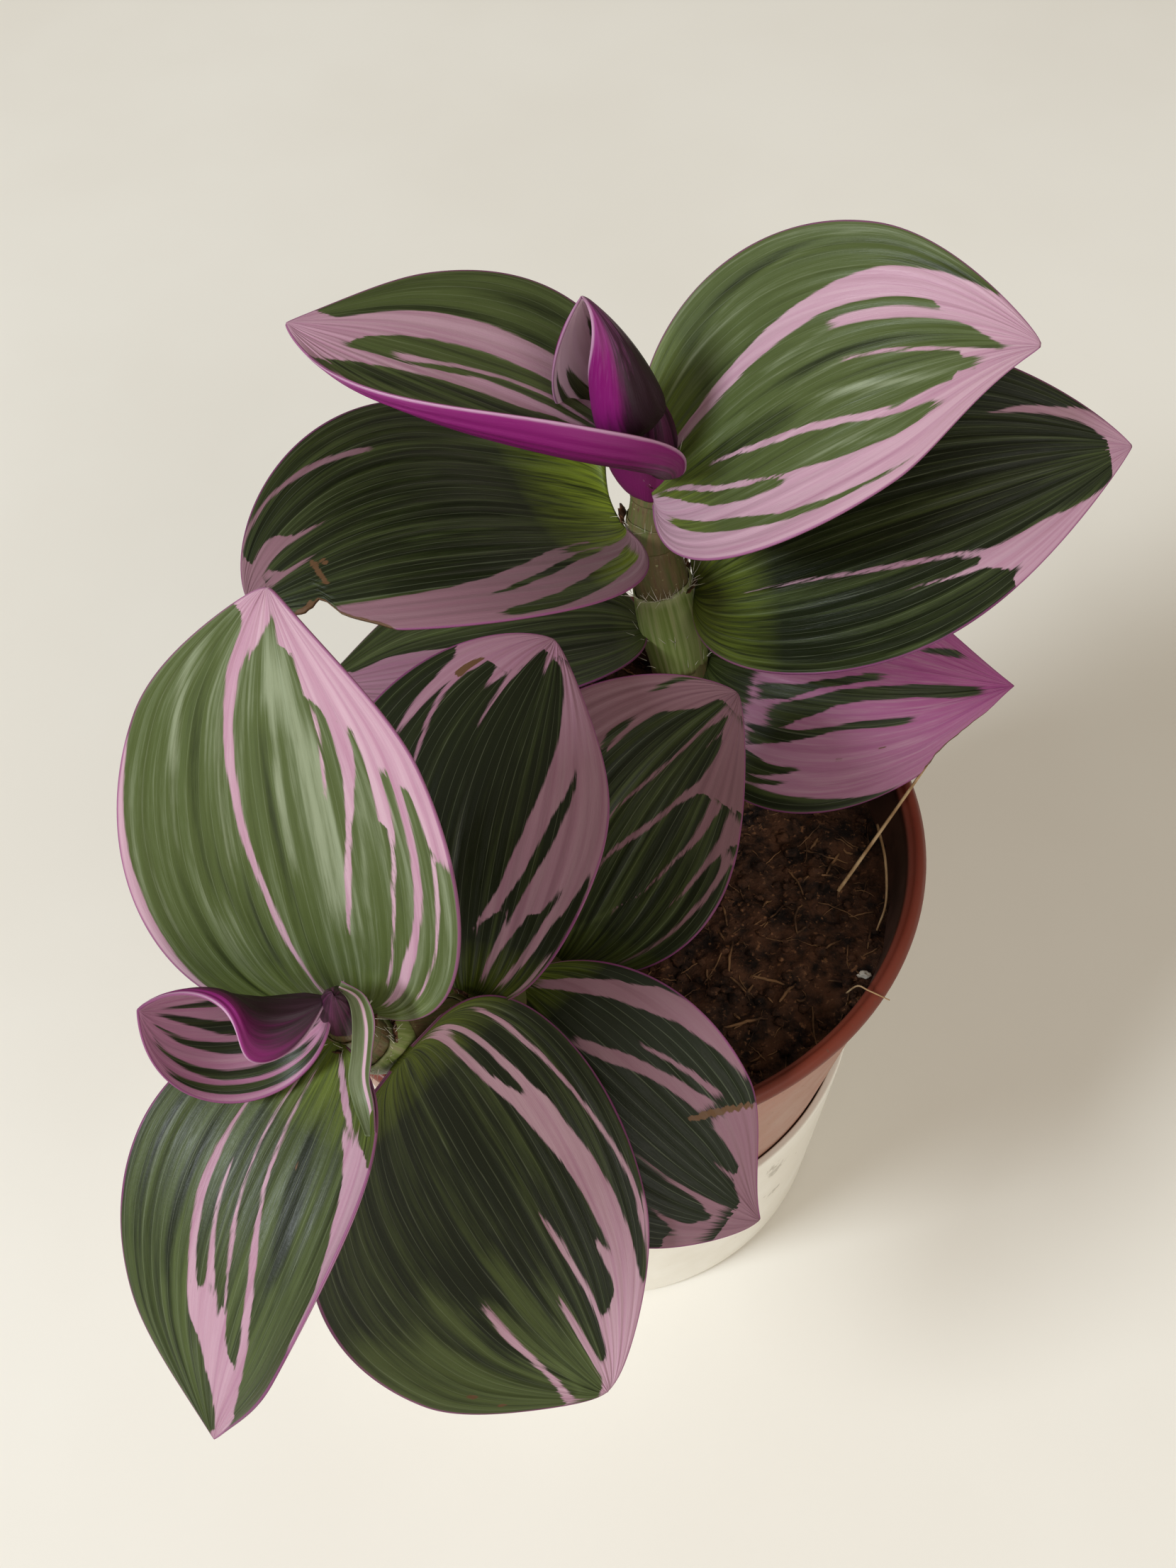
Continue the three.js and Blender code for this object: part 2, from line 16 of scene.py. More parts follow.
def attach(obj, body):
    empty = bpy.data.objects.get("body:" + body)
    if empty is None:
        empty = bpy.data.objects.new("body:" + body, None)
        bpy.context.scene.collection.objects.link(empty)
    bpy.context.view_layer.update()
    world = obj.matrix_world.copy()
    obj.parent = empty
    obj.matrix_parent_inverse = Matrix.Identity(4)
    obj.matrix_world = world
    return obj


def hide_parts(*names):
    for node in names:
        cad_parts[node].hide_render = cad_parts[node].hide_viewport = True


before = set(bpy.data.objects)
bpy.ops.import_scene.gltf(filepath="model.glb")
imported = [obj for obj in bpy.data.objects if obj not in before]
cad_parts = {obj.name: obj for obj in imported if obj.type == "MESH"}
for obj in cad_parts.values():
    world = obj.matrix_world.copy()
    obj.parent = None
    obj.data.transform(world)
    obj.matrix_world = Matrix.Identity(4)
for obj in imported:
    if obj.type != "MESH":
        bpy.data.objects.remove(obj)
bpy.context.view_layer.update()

MM = 0.001

# %% [markdown]
# ## Camera
# The photograph was taken by hand from the front, looking down at about 55 degrees, with the
# camera tipped a little. Its focal length was fitted to the rim's ellipse. The aim point is a
# place on the pot's axis at the rim, and it has to land on one pixel of the picture, so the
# camera is turned until it does and no lens shift is needed.

# %% Camera
PICTURE_WIDTH, PICTURE_HEIGHT = 1659, 2212
FOCAL_PIXELS = 2600
CAMERA_ELEVATION = math.radians(54.83)
CAMERA_ROLL = math.radians(-3.16)
CAMERA_DISTANCE = 278.8
AIM_POINT = Vector((0, 0, 86.8))
AIM_PIXEL = (836.2, 1181.0)
SENSOR_WIDTH = 36
NEAREST_SEEN = 10

def photo_camera():
    back = Vector((0, -math.cos(CAMERA_ELEVATION), math.sin(CAMERA_ELEVATION)))
    right = (-back).cross(Vector((0, 0, 1))).normalized()
    up = right.cross(-back)
    turned_right = right * math.cos(CAMERA_ROLL) + up * math.sin(CAMERA_ROLL)
    turned_up = up * math.cos(CAMERA_ROLL) - right * math.sin(CAMERA_ROLL)
    seen = Vector(((AIM_PIXEL[0] - PICTURE_WIDTH / 2) / FOCAL_PIXELS,
                   (PICTURE_HEIGHT / 2 - AIM_PIXEL[1]) / FOCAL_PIXELS, -1)).normalized()
    aim = Vector((0, 0, -1)).rotation_difference(seen).to_matrix()
    axes = Matrix((turned_right, turned_up, back)).transposed() @ aim.transposed()
    data = bpy.data.cameras.new("photo_camera")
    data.sensor_width = SENSOR_WIDTH
    data.sensor_fit = "HORIZONTAL"
    data.lens = FOCAL_PIXELS / PICTURE_WIDTH * SENSOR_WIDTH
    data.clip_start = NEAREST_SEEN * MM
    camera = bpy.data.objects.new("photo_camera", data)
    camera.matrix_world = Matrix.Translation((AIM_POINT + back * CAMERA_DISTANCE) * MM) @ axes.to_4x4()
    bpy.context.collection.objects.link(camera)
    return camera

bpy.context.scene.camera = photo_camera()
print("camera at", tuple(round(c, 4) for c in bpy.context.scene.camera.location))

# %% [markdown]
# ## From points to meshes
# Leaves, stems and pots are all sheets of points in rows and columns. They could be modelled by
# hand, but a sheet that is worked out by formula follows the CAD model closely, so one helper
# joins such a sheet with four-sided faces. A second one turns points into a Blender mesh and
# stores named values on them. Materials read these values with Attribute nodes, which is how a
# stripe knows where on the leaf it is.

# %% Faces of a sheet
def sheet_faces(rows, columns, first=0, flip=False, closed=False):
    """Quads that join a sheet of rows x columns points; closed joins the last column to the first."""
    r = np.arange(rows - 1)[:, None] * columns
    c = np.arange(columns if closed else columns - 1)[None, :]
    n = (c + 1) % columns
    quads = np.stack([r + c, r + n, r + columns + n, r + columns + c], -1).reshape(-1, 4) + first
    return quads[:, ::-1] if flip else quads

print("a sheet of 3 x 4 points has", len(sheet_faces(3, 4)), "faces")

# %% A piece from points and faces
def new_piece(name, points, quads, materials, face_materials=None, values=None):
    """A mesh object from points in millimetres; a quad whose last two corners agree is a triangle."""
    points = np.asarray(points, float)
    quads = np.asarray(quads, int)
    triangle = quads[:, 2] == quads[:, 3]
    sizes = np.where(triangle, 3, 4)
    starts = np.concatenate([[0], np.cumsum(sizes)[:-1]])
    keep = np.ones(quads.shape, bool)
    keep[triangle, 3] = False
    mesh = bpy.data.meshes.new(name)
    mesh.vertices.add(len(points))
    mesh.vertices.foreach_set("co", (points * MM).ravel())
    mesh.loops.add(int(sizes.sum()))
    mesh.loops.foreach_set("vertex_index", quads[keep])
    mesh.polygons.add(len(quads))
    mesh.polygons.foreach_set("loop_start", starts)
    if face_materials is not None:
        mesh.polygons.foreach_set("material_index", np.asarray(face_materials, int))
    mesh.update(calc_edges=True)
    mesh.polygons.foreach_set("use_smooth", np.ones(len(quads), bool))
    for key, value in (values or {}).items():
        attribute = mesh.attributes.new(key, "FLOAT_VECTOR", "POINT")
        attribute.data.foreach_set("vector", np.asarray(value, float).ravel())
    for material in materials:
        mesh.materials.append(material)
    piece = bpy.data.objects.new(name, mesh)
    bpy.context.collection.objects.link(piece)
    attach(piece, "root")
    print(name, "faces", len(quads))
    return piece

print("one millimetre is", MM, "of a metre")

# %% [markdown]
# ## Formulas made of nodes
# A finish in Blender is a graph of nodes. It could be laid out by hand in the node editor, but a
# graph that is written as a formula can be read and changed line by line. Each helper below adds
# one node, or a few, and gives back its output: `plus`, `times` and `swing` do sums, `ease` turns
# one range of values softly into another, `cloudy` is soft noise, and `blend_colours` mixes two
# colours.

# %% Nodes for sums
def add_node(tree, kind, inputs=None, **settings):
    """One shader node; inputs is {socket: value or another node's output}."""
    node = tree.nodes.new(kind)
    for key, value in settings.items():
        setattr(node, key, value)
    for key, value in (inputs or {}).items():
        if isinstance(value, bpy.types.NodeSocket):
            tree.links.new(value, node.inputs[key])
        else:
            node.inputs[key].default_value = value
    return node

def calc(tree, operation, *terms):
    return add_node(tree, "ShaderNodeMath", dict(enumerate(terms)), operation=operation).outputs[0]

def plus(tree, first, second):
    return calc(tree, "ADD", first, second)

def times(tree, first, second):
    return calc(tree, "MULTIPLY", first, second)

def swing(tree, cloud, size):
    """Noise between 0 and 1 turned into a swing about nought."""
    return times(tree, calc(tree, "SUBTRACT", cloud, 0.5), size)

def ease(tree, value, low, high, to_low=0.0, to_high=1.0):
    """Turns low to high into to_low to to_high with soft ends; low may be the larger one."""
    inputs = {0: value, 1: low, 2: high, 3: to_low, 4: to_high}
    return add_node(tree, "ShaderNodeMapRange", inputs, interpolation_type="SMOOTHSTEP").outputs[0]

print("helpers for sums", [helper.__name__ for helper in (calc, plus, times, swing, ease)])

# %% Nodes for places and noise
def value_of(tree, name):
    """The named value that a mesh carries on its points."""
    return add_node(tree, "ShaderNodeAttribute", attribute_name=name).outputs["Vector"]

def object_place(tree):
    """The place in the piece's own coordinates, in metres."""
    return add_node(tree, "ShaderNodeTexCoord").outputs["Object"]

def split(tree, vector):
    return add_node(tree, "ShaderNodeSeparateXYZ", {0: vector}).outputs

def join(tree, x, y, z):
    return add_node(tree, "ShaderNodeCombineXYZ", {0: x, 1: y, 2: z}).outputs[0]

def cloudy(tree, vector, scale, detail=3, roughness=0.55):
    inputs = {"Vector": vector, "Scale": scale, "Detail": detail, "Roughness": roughness}
    return add_node(tree, "ShaderNodeTexNoise", inputs).outputs[0]

print("helpers for noise", [helper.__name__ for helper in (value_of, object_place, split, join, cloudy)])

# %% Colours, materials and relief
def colour(red, green, blue):
    """A colour as seen on a screen, 0 to 255, turned into the linear numbers that Blender uses."""
    screen = np.array([red, green, blue]) / 255
    linear = np.where(screen < 0.04045, screen / 12.92, ((screen + 0.055) / 1.055) ** 2.4)
    return (*linear, 1)

def blend_colours(tree, share, first, second):
    """The first colour where share is 0 and the second one where it is 1."""
    inputs = {0: share, 6: first, 7: second}
    return add_node(tree, "ShaderNodeMix", inputs, data_type="RGBA").outputs[2]

def new_material(name, roughness=0.5, specular=0.5):
    """A material with its Principled node; looks that vary are linked in afterwards."""
    material = bpy.data.materials.new(name)
    material.use_nodes = True
    shader = material.node_tree.nodes["Principled BSDF"]
    shader.inputs["Roughness"].default_value = roughness
    shader.inputs["Specular IOR Level"].default_value = specular
    return material, material.node_tree, shader

def add_bump(tree, shader, height, distance, strength=1.0):
    """Fine relief; the distance is in millimetres."""
    inputs = {"Height": height, "Distance": distance * MM, "Strength": strength}
    tree.links.new(add_node(tree, "ShaderNodeBump", inputs).outputs[0], shader.inputs["Normal"])

print("middle grey is", round(colour(128, 128, 128)[0], 3), "in linear light")

# %% [markdown]
# ## Table top
# The plant stands on a pale, plain table. One flat sheet is enough, in a matt paint that is
# mottled a very little so that it doesn't look like paper. A large plain plane with an even
# colour would be quicker, but it looks dead beside the plant.

# %% Table top
TABLE_HALF, TABLE_POINTS = 900, 41

def table_material():
    material, tree, shader = new_material("table_paint", roughness=0.6)
    place = object_place(tree)
    mottled = ease(tree, cloudy(tree, place, 6, 4), 0.3, 0.7)
    shade = blend_colours(tree, mottled, colour(233, 230, 222), colour(228, 224, 215))
    tree.links.new(shade, shader.inputs["Base Color"])
    add_bump(tree, shader, cloudy(tree, place, 900, 2), 0.02, 0.3)
    return material

def table_top():
    line = np.linspace(-TABLE_HALF, TABLE_HALF, TABLE_POINTS)
    across, back = np.meshgrid(line, line)
    points = np.stack([across, back, np.zeros_like(across)], -1).reshape(-1, 3)
    mesh = bpy.data.meshes.new("table_top")
    mesh.from_pydata((points * MM).tolist(), [], sheet_faces(TABLE_POINTS, TABLE_POINTS).tolist())
    mesh.materials.append(table_material())
    table = bpy.data.objects.new("table_top", mesh)
    bpy.context.collection.objects.link(table)

table_top()
print("table is", 2 * TABLE_HALF, "mm wide")

# %% [markdown]
# ## Light
# Soft daylight comes from the left. A sun lamp would be simple, but its shadow has a hard edge,
# so a large round area light on the left makes the soft shadow to the right. A dim wide one fills
# the front, and a warm grey world stands for the room: it keeps the shaded sides of the leaves
# from going black.

# %% Lights
PLANT_MIDDLE = (0, 0, 60)
WINDOW_LEFT = dict(place=(-1750, -950, 1680), size=850, watts=58, tint=(0.925, 0.985, 1.035))
ROOM_FRONT = dict(place=(300, -700, 600), size=700, watts=2.8, tint=(1.0, 0.97, 0.93))
ROOM_TINT, ROOM_STRENGTH = (1.0, 0.895, 0.74, 1), 0.40

def area_light(name, place, size, watts, tint):
    """A round area light, sizes in millimetres, that faces the plant's middle."""
    data = bpy.data.lights.new(name, "AREA")
    data.shape = "DISK"
    data.size = size * MM
    data.energy = watts
    data.color = tint
    light = bpy.data.objects.new(name, data)
    light.location = Vector(place) * MM
    facing = Vector(PLANT_MIDDLE) - Vector(place)
    light.rotation_euler = facing.to_track_quat("-Z", "Y").to_euler()
    bpy.context.collection.objects.link(light)

area_light("window_left", **WINDOW_LEFT)
area_light("room_front", **ROOM_FRONT)
world = bpy.data.worlds.new("room")
bpy.context.scene.world = world
world.use_nodes = True
world.node_tree.nodes["Background"].inputs[0].default_value = ROOM_TINT
world.node_tree.nodes["Background"].inputs[1].default_value = ROOM_STRENGTH
bpy.context.scene.view_settings.view_transform = "Standard"

# %% [markdown]
# ## Leaf finish: the upper face
# A tradescantia leaf has long parallel veins, and its colour bands follow them: green, deep
# green, and pink or lilac where the cells hold no green. The bands look brushed on, with edges
# that break up into fine streaks. A picture could hold this pattern, but it would blur close up.
# So the mesh carries `marks` (how far inside a pink band a point is in millimetres, how light the
# green is, and the distance from the margin), and the material adds noise that is stretched
# along the veins before it decides between green and pink. `place` is the position on the
# blade, so the streaks run with the veins.

# %% Leaf colours
DEEP_GREEN = colour(22, 28, 10)
MID_GREEN = colour(73, 84, 45)
PALE_GREEN = colour(131, 139, 112)
CHARTREUSE = colour(118, 134, 36)
FRESH_PINK = colour(190, 156, 170)
DEEP_PINK = colour(162, 114, 138)
# dusky pink: partly painted shade, for the leaves that lie in shade
DUSKY_SHADED_PINK = colour(114, 82, 88)
MAGENTA_PINK = colour(154, 64, 130)
# pale lilac: a painted glow, as of light shining through a thin young leaf
PAINTED_GLOW_LILAC = colour(226, 196, 210)
MARGIN_PURPLE = colour(128, 62, 110)
DAMAGE_BROWN = colour(92, 66, 44)
print("deep green in linear light", [round(part, 3) for part in DEEP_GREEN[:3]])

# %% Streaks along the veins
LEAF_TO_LEAF = 9.0

def vein_streaks(tree, place, across_rate, along_rate, detail=3):
    """Noise drawn out along the veins; the rates are in waves to the millimetre."""
    across, along, seed = split(tree, place)
    wide = times(tree, across, across_rate)
    long = times(tree, along, along_rate)
    return cloudy(tree, join(tree, wide, long, times(tree, seed, LEAF_TO_LEAF)), 1.0, detail)

print("the noise moves on by", LEAF_TO_LEAF, "from one leaf to the next")

# %% Greens and pinks of the upper face
def green_of_leaf(tree, place, tone, broad, streak, ragged, yellowing):
    """Deep to pale green in long bands, with thin pale veins and a yellow-green base."""
    banding = plus(tree, times(tree, ragged, 0.5), swing(tree, broad, 1.1))
    light = plus(tree, times(tree, tone, 0.55), banding)
    green = blend_colours(tree, ease(tree, light, -0.45, 0.25), DEEP_GREEN, MID_GREEN)
    green = blend_colours(tree, ease(tree, light, 0.2, 0.75), green, PALE_GREEN)
    waves = calc(tree, "MULTIPLY_ADD", split(tree, place)[0], 2.3, times(tree, broad, 3.0))
    vein = calc(tree, "ABSOLUTE", calc(tree, "SINE", waves))
    green = blend_colours(tree, ease(tree, vein, 0.16, 0.02, 0.0, 0.22), green, PALE_GREEN)
    yellow = times(tree, yellowing, ease(tree, streak, 0.2, 0.7))
    return blend_colours(tree, yellow, green, CHARTREUSE)

def pink_of_leaf(tree, broad, streak, ragged, dusk_and_shade, blush_and_glow):
    """Fresh to deep pink, dusky on some leaves, partly as painted shade; it turns magenta where the last
    argument is positive, and pale lilac, a painted glow of light through the leaf, where it is negative.
    """
    depth = plus(tree, broad, times(tree, ragged, 0.35))
    rosy = blend_colours(tree, ease(tree, depth, 0.25, 0.9), FRESH_PINK, DEEP_PINK)
    red = times(tree, blush_and_glow, ease(tree, streak, 0.2, 0.6, 0.5, 1.0))
    rosy = blend_colours(tree, red, rosy, MAGENTA_PINK)
    # duskier pink on some leaves, partly painted shade
    rosy = blend_colours(tree, dusk_and_shade, rosy, DUSKY_SHADED_PINK)
    # a negative number gives pale lilac, a painted glow of light through the leaf
    return blend_colours(tree, ease(tree, blush_and_glow, 0.0, -0.5), rosy, PAINTED_GLOW_LILAC)

print("upper face helpers", green_of_leaf.__name__, pink_of_leaf.__name__)

# %% Upper leaf face
def upper_leaf_material():
    material, tree, shader = new_material("leaf_upper_face", specular=0.2)
    place = value_of(tree, "place")
    pink_depth, tone, edge = split(tree, value_of(tree, "marks"))
    yellowing, dusk_and_shade, damage = split(tree, value_of(tree, "wear_and_shade"))
    blush_and_glow = split(tree, value_of(tree, "under"))[2]
    broad = vein_streaks(tree, place, 0.8, 0.022)
    streak = vein_streaks(tree, place, 2.2, 0.13)
    fine = vein_streaks(tree, place, 6.5, 0.4, 2)
    ragged = plus(tree, swing(tree, streak, 0.8), swing(tree, fine, 0.3))
    green = green_of_leaf(tree, place, tone, broad, streak, ragged, yellowing)
    rosy = pink_of_leaf(tree, broad, streak, ragged, dusk_and_shade, blush_and_glow)
    pink = ease(tree, plus(tree, pink_depth, ragged), -0.16, 0.16)
    blade = blend_colours(tree, pink, green, rosy)
    margin = ease(tree, plus(tree, edge, times(tree, ragged, 0.4)), 0.32, 0.1, 0.0, 0.75)
    blade = blend_colours(tree, margin, blade, MARGIN_PURPLE)
    browned = ease(tree, plus(tree, damage, ragged), 0.35, 0.65)
    blade = blend_colours(tree, browned, blade, DAMAGE_BROWN)
    tree.links.new(blade, shader.inputs["Base Color"])
    tree.links.new(ease(tree, fine, 0.3, 0.7, 0.36, 0.5), shader.inputs["Roughness"])
    cells = plus(tree, fine, times(tree, cloudy(tree, place, 2.6, 2), 0.5))
    add_bump(tree, shader, plus(tree, times(tree, streak, 0.8), cells), 0.07, 0.5)
    return material

LEAF_UPPER = upper_leaf_material()
print(LEAF_UPPER.name, "nodes", len(LEAF_UPPER.node_tree.nodes))

# %% [markdown]
# ## Leaf finish: the underside
# The underside is vivid magenta near the margin and the tip, and goes to a dark purple in long
# streaks towards the base. It shows where a leaf rolls over, and on the two young leaves that
# are still rolled up. One material could choose its colour by the side that is seen, but a
# material of its own on the lower faces is simpler and exports well.

# %% Leaf underside
MAGENTA = colour(124, 16, 100)
DARK_PURPLE = colour(40, 12, 28)
LILAC_SHEEN = colour(146, 70, 130)
# pale pink along the margin of the underside: a painted highlight
PAINTED_HIGHLIGHT_MARGIN = colour(196, 158, 184)

def leaf_underside_material():
    material, tree, shader = new_material("leaf_underside", specular=0.4)
    place = value_of(tree, "place")
    bright, far_bright, _ = split(tree, value_of(tree, "under"))
    edge = split(tree, value_of(tree, "marks"))[2]
    streak = vein_streaks(tree, place, 1.1, 0.05)
    fine = vein_streaks(tree, place, 5.5, 0.35, 2)
    level = plus(tree, bright, swing(tree, streak, 1.1))
    shade = blend_colours(tree, ease(tree, level, 0.1, 0.85), DARK_PURPLE, MAGENTA)
    glow = ease(tree, plus(tree, far_bright, fine), 1.1, 1.6, 0.0, 0.5)
    shade = blend_colours(tree, glow, shade, LILAC_SHEEN)
    # a pale line along the margin: a painted highlight where the edge catches the light
    margin = ease(tree, plus(tree, edge, times(tree, fine, 0.3)), 0.7, 0.3, 0.0, 0.7)
    shade = blend_colours(tree, margin, shade, PAINTED_HIGHLIGHT_MARGIN)
    tree.links.new(shade, shader.inputs["Base Color"])
    tree.links.new(ease(tree, fine, 0.3, 0.7, 0.42, 0.55), shader.inputs["Roughness"])
    add_bump(tree, shader, plus(tree, streak, fine), 0.08, 0.5)
    return material

LEAF_UNDER = leaf_underside_material()
print(LEAF_UNDER.name, "nodes", len(LEAF_UNDER.node_tree.nodes))

# %% [markdown]
# ## The shape of a leaf
# Every leaf is one curved sheet. It could be sculpted, but then fourteen leaves would need
# fourteen sculptures, so one formula is fed with measures. Its midrib starts at `base` on the
# stem, runs along `azimuth` and `pitch`, and arches and sways on the way. Across it, the two
# halves rise from the midrib like an open book (`cup_base` and `cup_tip`, in degrees). Some
# edges roll in further (`curl_left`, `curl_right`), and some clasp the stem at the base
# (`clasp_left`, `clasp_right`). `widest` and `fullness` give the oval outline, `taper_left` and
# `taper_right` draw in the tip, and `base_left` and `base_right` keep the base broad. The same
# numbers made the CAD solids, so the fine leaves lie where the solids are.

# %% Leaf measures
LEAVES = {
    "leaf_a1": dict(base=(11.5, 33, 125), azimuth=-10, pitch=32, length=59.5, width=47, roll=17, arch=8,
                    arch_at=.62, sway=-3, twist=21, widest=.38, fullness=1.15, cup_base=33, cup_tip=-6,
                    taper_left=.35, taper_right=.55),
    "leaf_a2": dict(base=(11, 34, 129.5), azimuth=174.6, pitch=28, length=55, width=43.8, roll=8.5,
                    arch=3, arch_at=.42, sway=-1.8, twist=-26, widest=.37, fullness=1.37, cup_base=53,
                    cup_tip=7, curl_left=73, curl_from=.4, taper_right=.3, base_left=.35,
                    clasp_left=20),
    "leaf_a3": dict(base=(12.9, 39.6, 136.5), azimuth=-159.4, pitch=63.8, length=25.4, width=28.6,
                    roll=-148.4, arch=-1.5, arch_at=.45, sway=-1.8, twist=26.3, widest=.3,
                    fullness=1.54, cup_base=110, cup_tip=70, curl_left=15, curl_right=147,
                    curl_from=.01, wider_right=1.5),
    "leaf_a4": dict(base=(7, 35.5, 117), azimuth=-154.5, pitch=13.5, length=59, width=47, roll=1,
                    arch=7, arch_at=.62, sway=1.5, twist=-22, widest=.39, fullness=1.05, cup_base=21,
                    cup_tip=5, base_right=.55, clasp_right=55),
    "leaf_a5": dict(base=(18, 33, 105), azimuth=-2, pitch=23.5, length=67, width=49, roll=22.5,
                    arch=10.5, arch_at=.44, sway=0, twist=31, widest=.38, fullness=1.45, cup_base=23,
                    cup_tip=4),
    "leaf_a6": dict(base=(20, 30, 92), azimuth=-16, pitch=5.5, length=47.5, width=40, roll=47, arch=8.5,
                    arch_at=.44, sway=2, twist=2, widest=.33, fullness=1.45, cup_base=21, cup_tip=3,
                    taper_left=.15, taper_right=.4),
    "leaf_a7": dict(base=(10, 32, 97), azimuth=-175, pitch=-4, length=51.5, width=35, roll=10, arch=2,
                    arch_at=.45, sway=0, twist=1, widest=.42, fullness=1.15, cup_base=21, cup_tip=5,
                    taper_left=.15, taper_right=.6),
    "leaf_b1": dict(base=(-30, -48.5, 124), azimuth=95.5, pitch=70.5, length=56, width=43, roll=-25,
                    arch=2.5, arch_at=.35, sway=-1, twist=-14, widest=.42, fullness=1.1, cup_base=38,
                    cup_tip=2, taper_left=.4, taper_right=.6),
    "leaf_b2": dict(base=(-30.7, -54.9, 136.2), azimuth=-169.5, pitch=16.7, length=20.7, width=26,
                    roll=-99.5, arch=-2, arch_at=.45, sway=-5, twist=60, widest=.41, fullness=1.57,
                    cup_base=118, cup_tip=10, curl_left=6, curl_right=91, curl_from=.01),
    "leaf_b3": dict(base=(-31, -54.6, 126), azimuth=-118, pitch=-41, length=51.5, width=33, roll=6,
                    arch=6.5, arch_at=.52, sway=1.5, twist=11, widest=.38, fullness=1.35, cup_base=20,
                    cup_tip=6, curl_left=55, curl_from=.45, clasp_right=-40, taper_left=.4,
                    taper_right=.5),
    "leaf_b4": dict(base=(-24.5, -53, 118), azimuth=-49, pitch=-54, length=58, width=48, roll=-10,
                    arch=-3, arch_at=.43, sway=1, twist=35, widest=.36, fullness=.9, cup_base=2,
                    cup_tip=9, taper_left=.3, taper_right=.4),
    "leaf_b5": dict(base=(-18, -37.2, 104.5), azimuth=71, pitch=27.5, length=49.5, width=37.5,
                    roll=-2.5, arch=10.5, arch_at=.44, sway=-2.5, twist=31, widest=.41, fullness=1.27,
                    cup_base=25, cup_tip=3.5),
    "leaf_b6": dict(base=(-6.5, -24.5, 92), azimuth=47, pitch=26, length=46, width=38, roll=14.5,
                    arch=6.5, arch_at=.45, sway=-3.5, twist=2, widest=.38, fullness=1.24, cup_base=22,
                    cup_tip=4),
    "leaf_b7": dict(base=(-12.5, -32, 98.5), azimuth=-40, pitch=-25, length=46.5, width=34, roll=28,
                    arch=3.5, arch_at=.44, sway=1.5, twist=6, widest=.45, fullness=1.14, cup_base=8,
                    cup_tip=3, taper_left=.8, taper_right=.25),
}
TAPER_FROM, CLASP_TO, TWIST_FROM, BASE_SHARE = 0.7, 0.35, 0.3, 0.1
RIGHT, LEFT = 1, -1
# the sign of v on each side of the midrib, and that side's name in the measures
SIDES = ((RIGHT, "right"), (LEFT, "left"))
print("longest leaf", max(leaf["length"] for leaf in LEAVES.values()), "mm")

# %% Outline and cross section of a leaf
def unit(vectors):
    return vectors / np.linalg.norm(vectors, axis=-1, keepdims=True)

def half_widths(leaf, u):
    """Half the blade's width at each u, on the left (-1) and right (+1) of the midrib."""
    rise = leaf["fullness"] * leaf["widest"]
    fall = leaf["fullness"] * (1 - leaf["widest"])
    outline = (u / leaf["widest"]) ** rise * ((1 - u) / (1 - leaf["widest"])) ** fall
    near_tip = np.clip((u - TAPER_FROM) / (1 - TAPER_FROM), 0, None) ** 2
    halves = {}
    for sign, side in SIDES:
        half = leaf["width"] / 2 * np.hypot(outline, leaf.get("base_" + side, BASE_SHARE) * (1 - u) ** 2)
        halves[sign] = half * leaf.get("wider_" + side, 1) * (1 - leaf.get("taper_" + side, 0) * near_tip)
    return halves

def half_section(leaf, u, share, curl, clasp=0, steps=120):
    """Across one half of the blade at u: distance out and height, for shares 0 to 1 of its width."""
    g = np.linspace(0, 1, steps + 1)
    cup = math.radians(leaf["cup_base"]) * (1 - u) + math.radians(leaf["cup_tip"]) * u
    cup += math.radians(clasp) * max(0, 1 - u / CLASP_TO) ** 2
    start = leaf.get("curl_from", 0.5)
    rolled = np.clip((g - start) / (1 - start), 0, None) ** 1.5
    slope = cup * g + math.radians(curl) * math.sqrt(max(0, math.sin(math.pi * u))) * rolled
    out = np.concatenate([[0], np.cumsum((np.cos(slope[1:]) + np.cos(slope[:-1])) / 2 / steps)])
    height = np.concatenate([[0], np.cumsum((np.sin(slope[1:]) + np.sin(slope[:-1])) / 2 / steps)])
    return np.interp(share, g, out), np.interp(share, g, height)

print("widest leaf", max(leaf["width"] for leaf in LEAVES.values()), "mm")

# %% The curved sheet of a leaf
def blade_sheet(leaf, u, v):
    """Points of the blade's middle surface; u runs from base to tip, v from left -1 to right 1."""
    azimuth, pitch, roll = (math.radians(leaf[key]) for key in ("azimuth", "pitch", "roll"))
    level = math.cos(pitch)
    along = np.array([level * math.cos(azimuth), level * math.sin(azimuth), math.sin(pitch)])
    up = unit(np.array([0, 0, 1.0]) - along * along[2])
    face = up * math.cos(roll) + np.cross(along, up) * math.sin(roll)
    side = np.cross(along, face)
    bend = math.log(0.5) / math.log(leaf["arch_at"])

    def midrib(t):
        w = t ** bend
        arched = np.outer(4 * w * (1 - w) * leaf["arch"], face)
        swayed = np.outer(4 * t * (1 - t) * leaf["sway"], side)
        return np.array(leaf["base"], float) + np.outer(t * leaf["length"], along) + arched + swayed

    middle = midrib(u)
    run = unit(midrib(np.minimum(1, u + 0.01)) - midrib(np.maximum(0, u - 0.01)))
    lift = unit(face - (run @ face)[:, None] * run)
    turn = np.radians(leaf["twist"]) * (u - TWIST_FROM)
    top = lift * np.cos(turn)[:, None] + np.cross(run, lift) * np.sin(turn)[:, None]
    wide = np.cross(run, top)
    halves = half_widths(leaf, u)
    sheet = np.zeros((*v.shape, 3))
    for i in range(len(u)):
        for sign, side_name in SIDES:
            chosen = v[i] >= 0 if sign == RIGHT else v[i] < 0
            curl, clasp = leaf.get("curl_" + side_name, 0), leaf.get("clasp_" + side_name, 0)
            out, height = half_section(leaf, u[i], np.abs(v[i, chosen]), curl, clasp)
            section = (out * sign)[:, None] * wide[i] + height[:, None] * top[i]
            sheet[i, chosen] = middle[i] + halves[sign][i] * section
    return sheet

print("every leaf twists about the place", TWIST_FROM, "of its length")
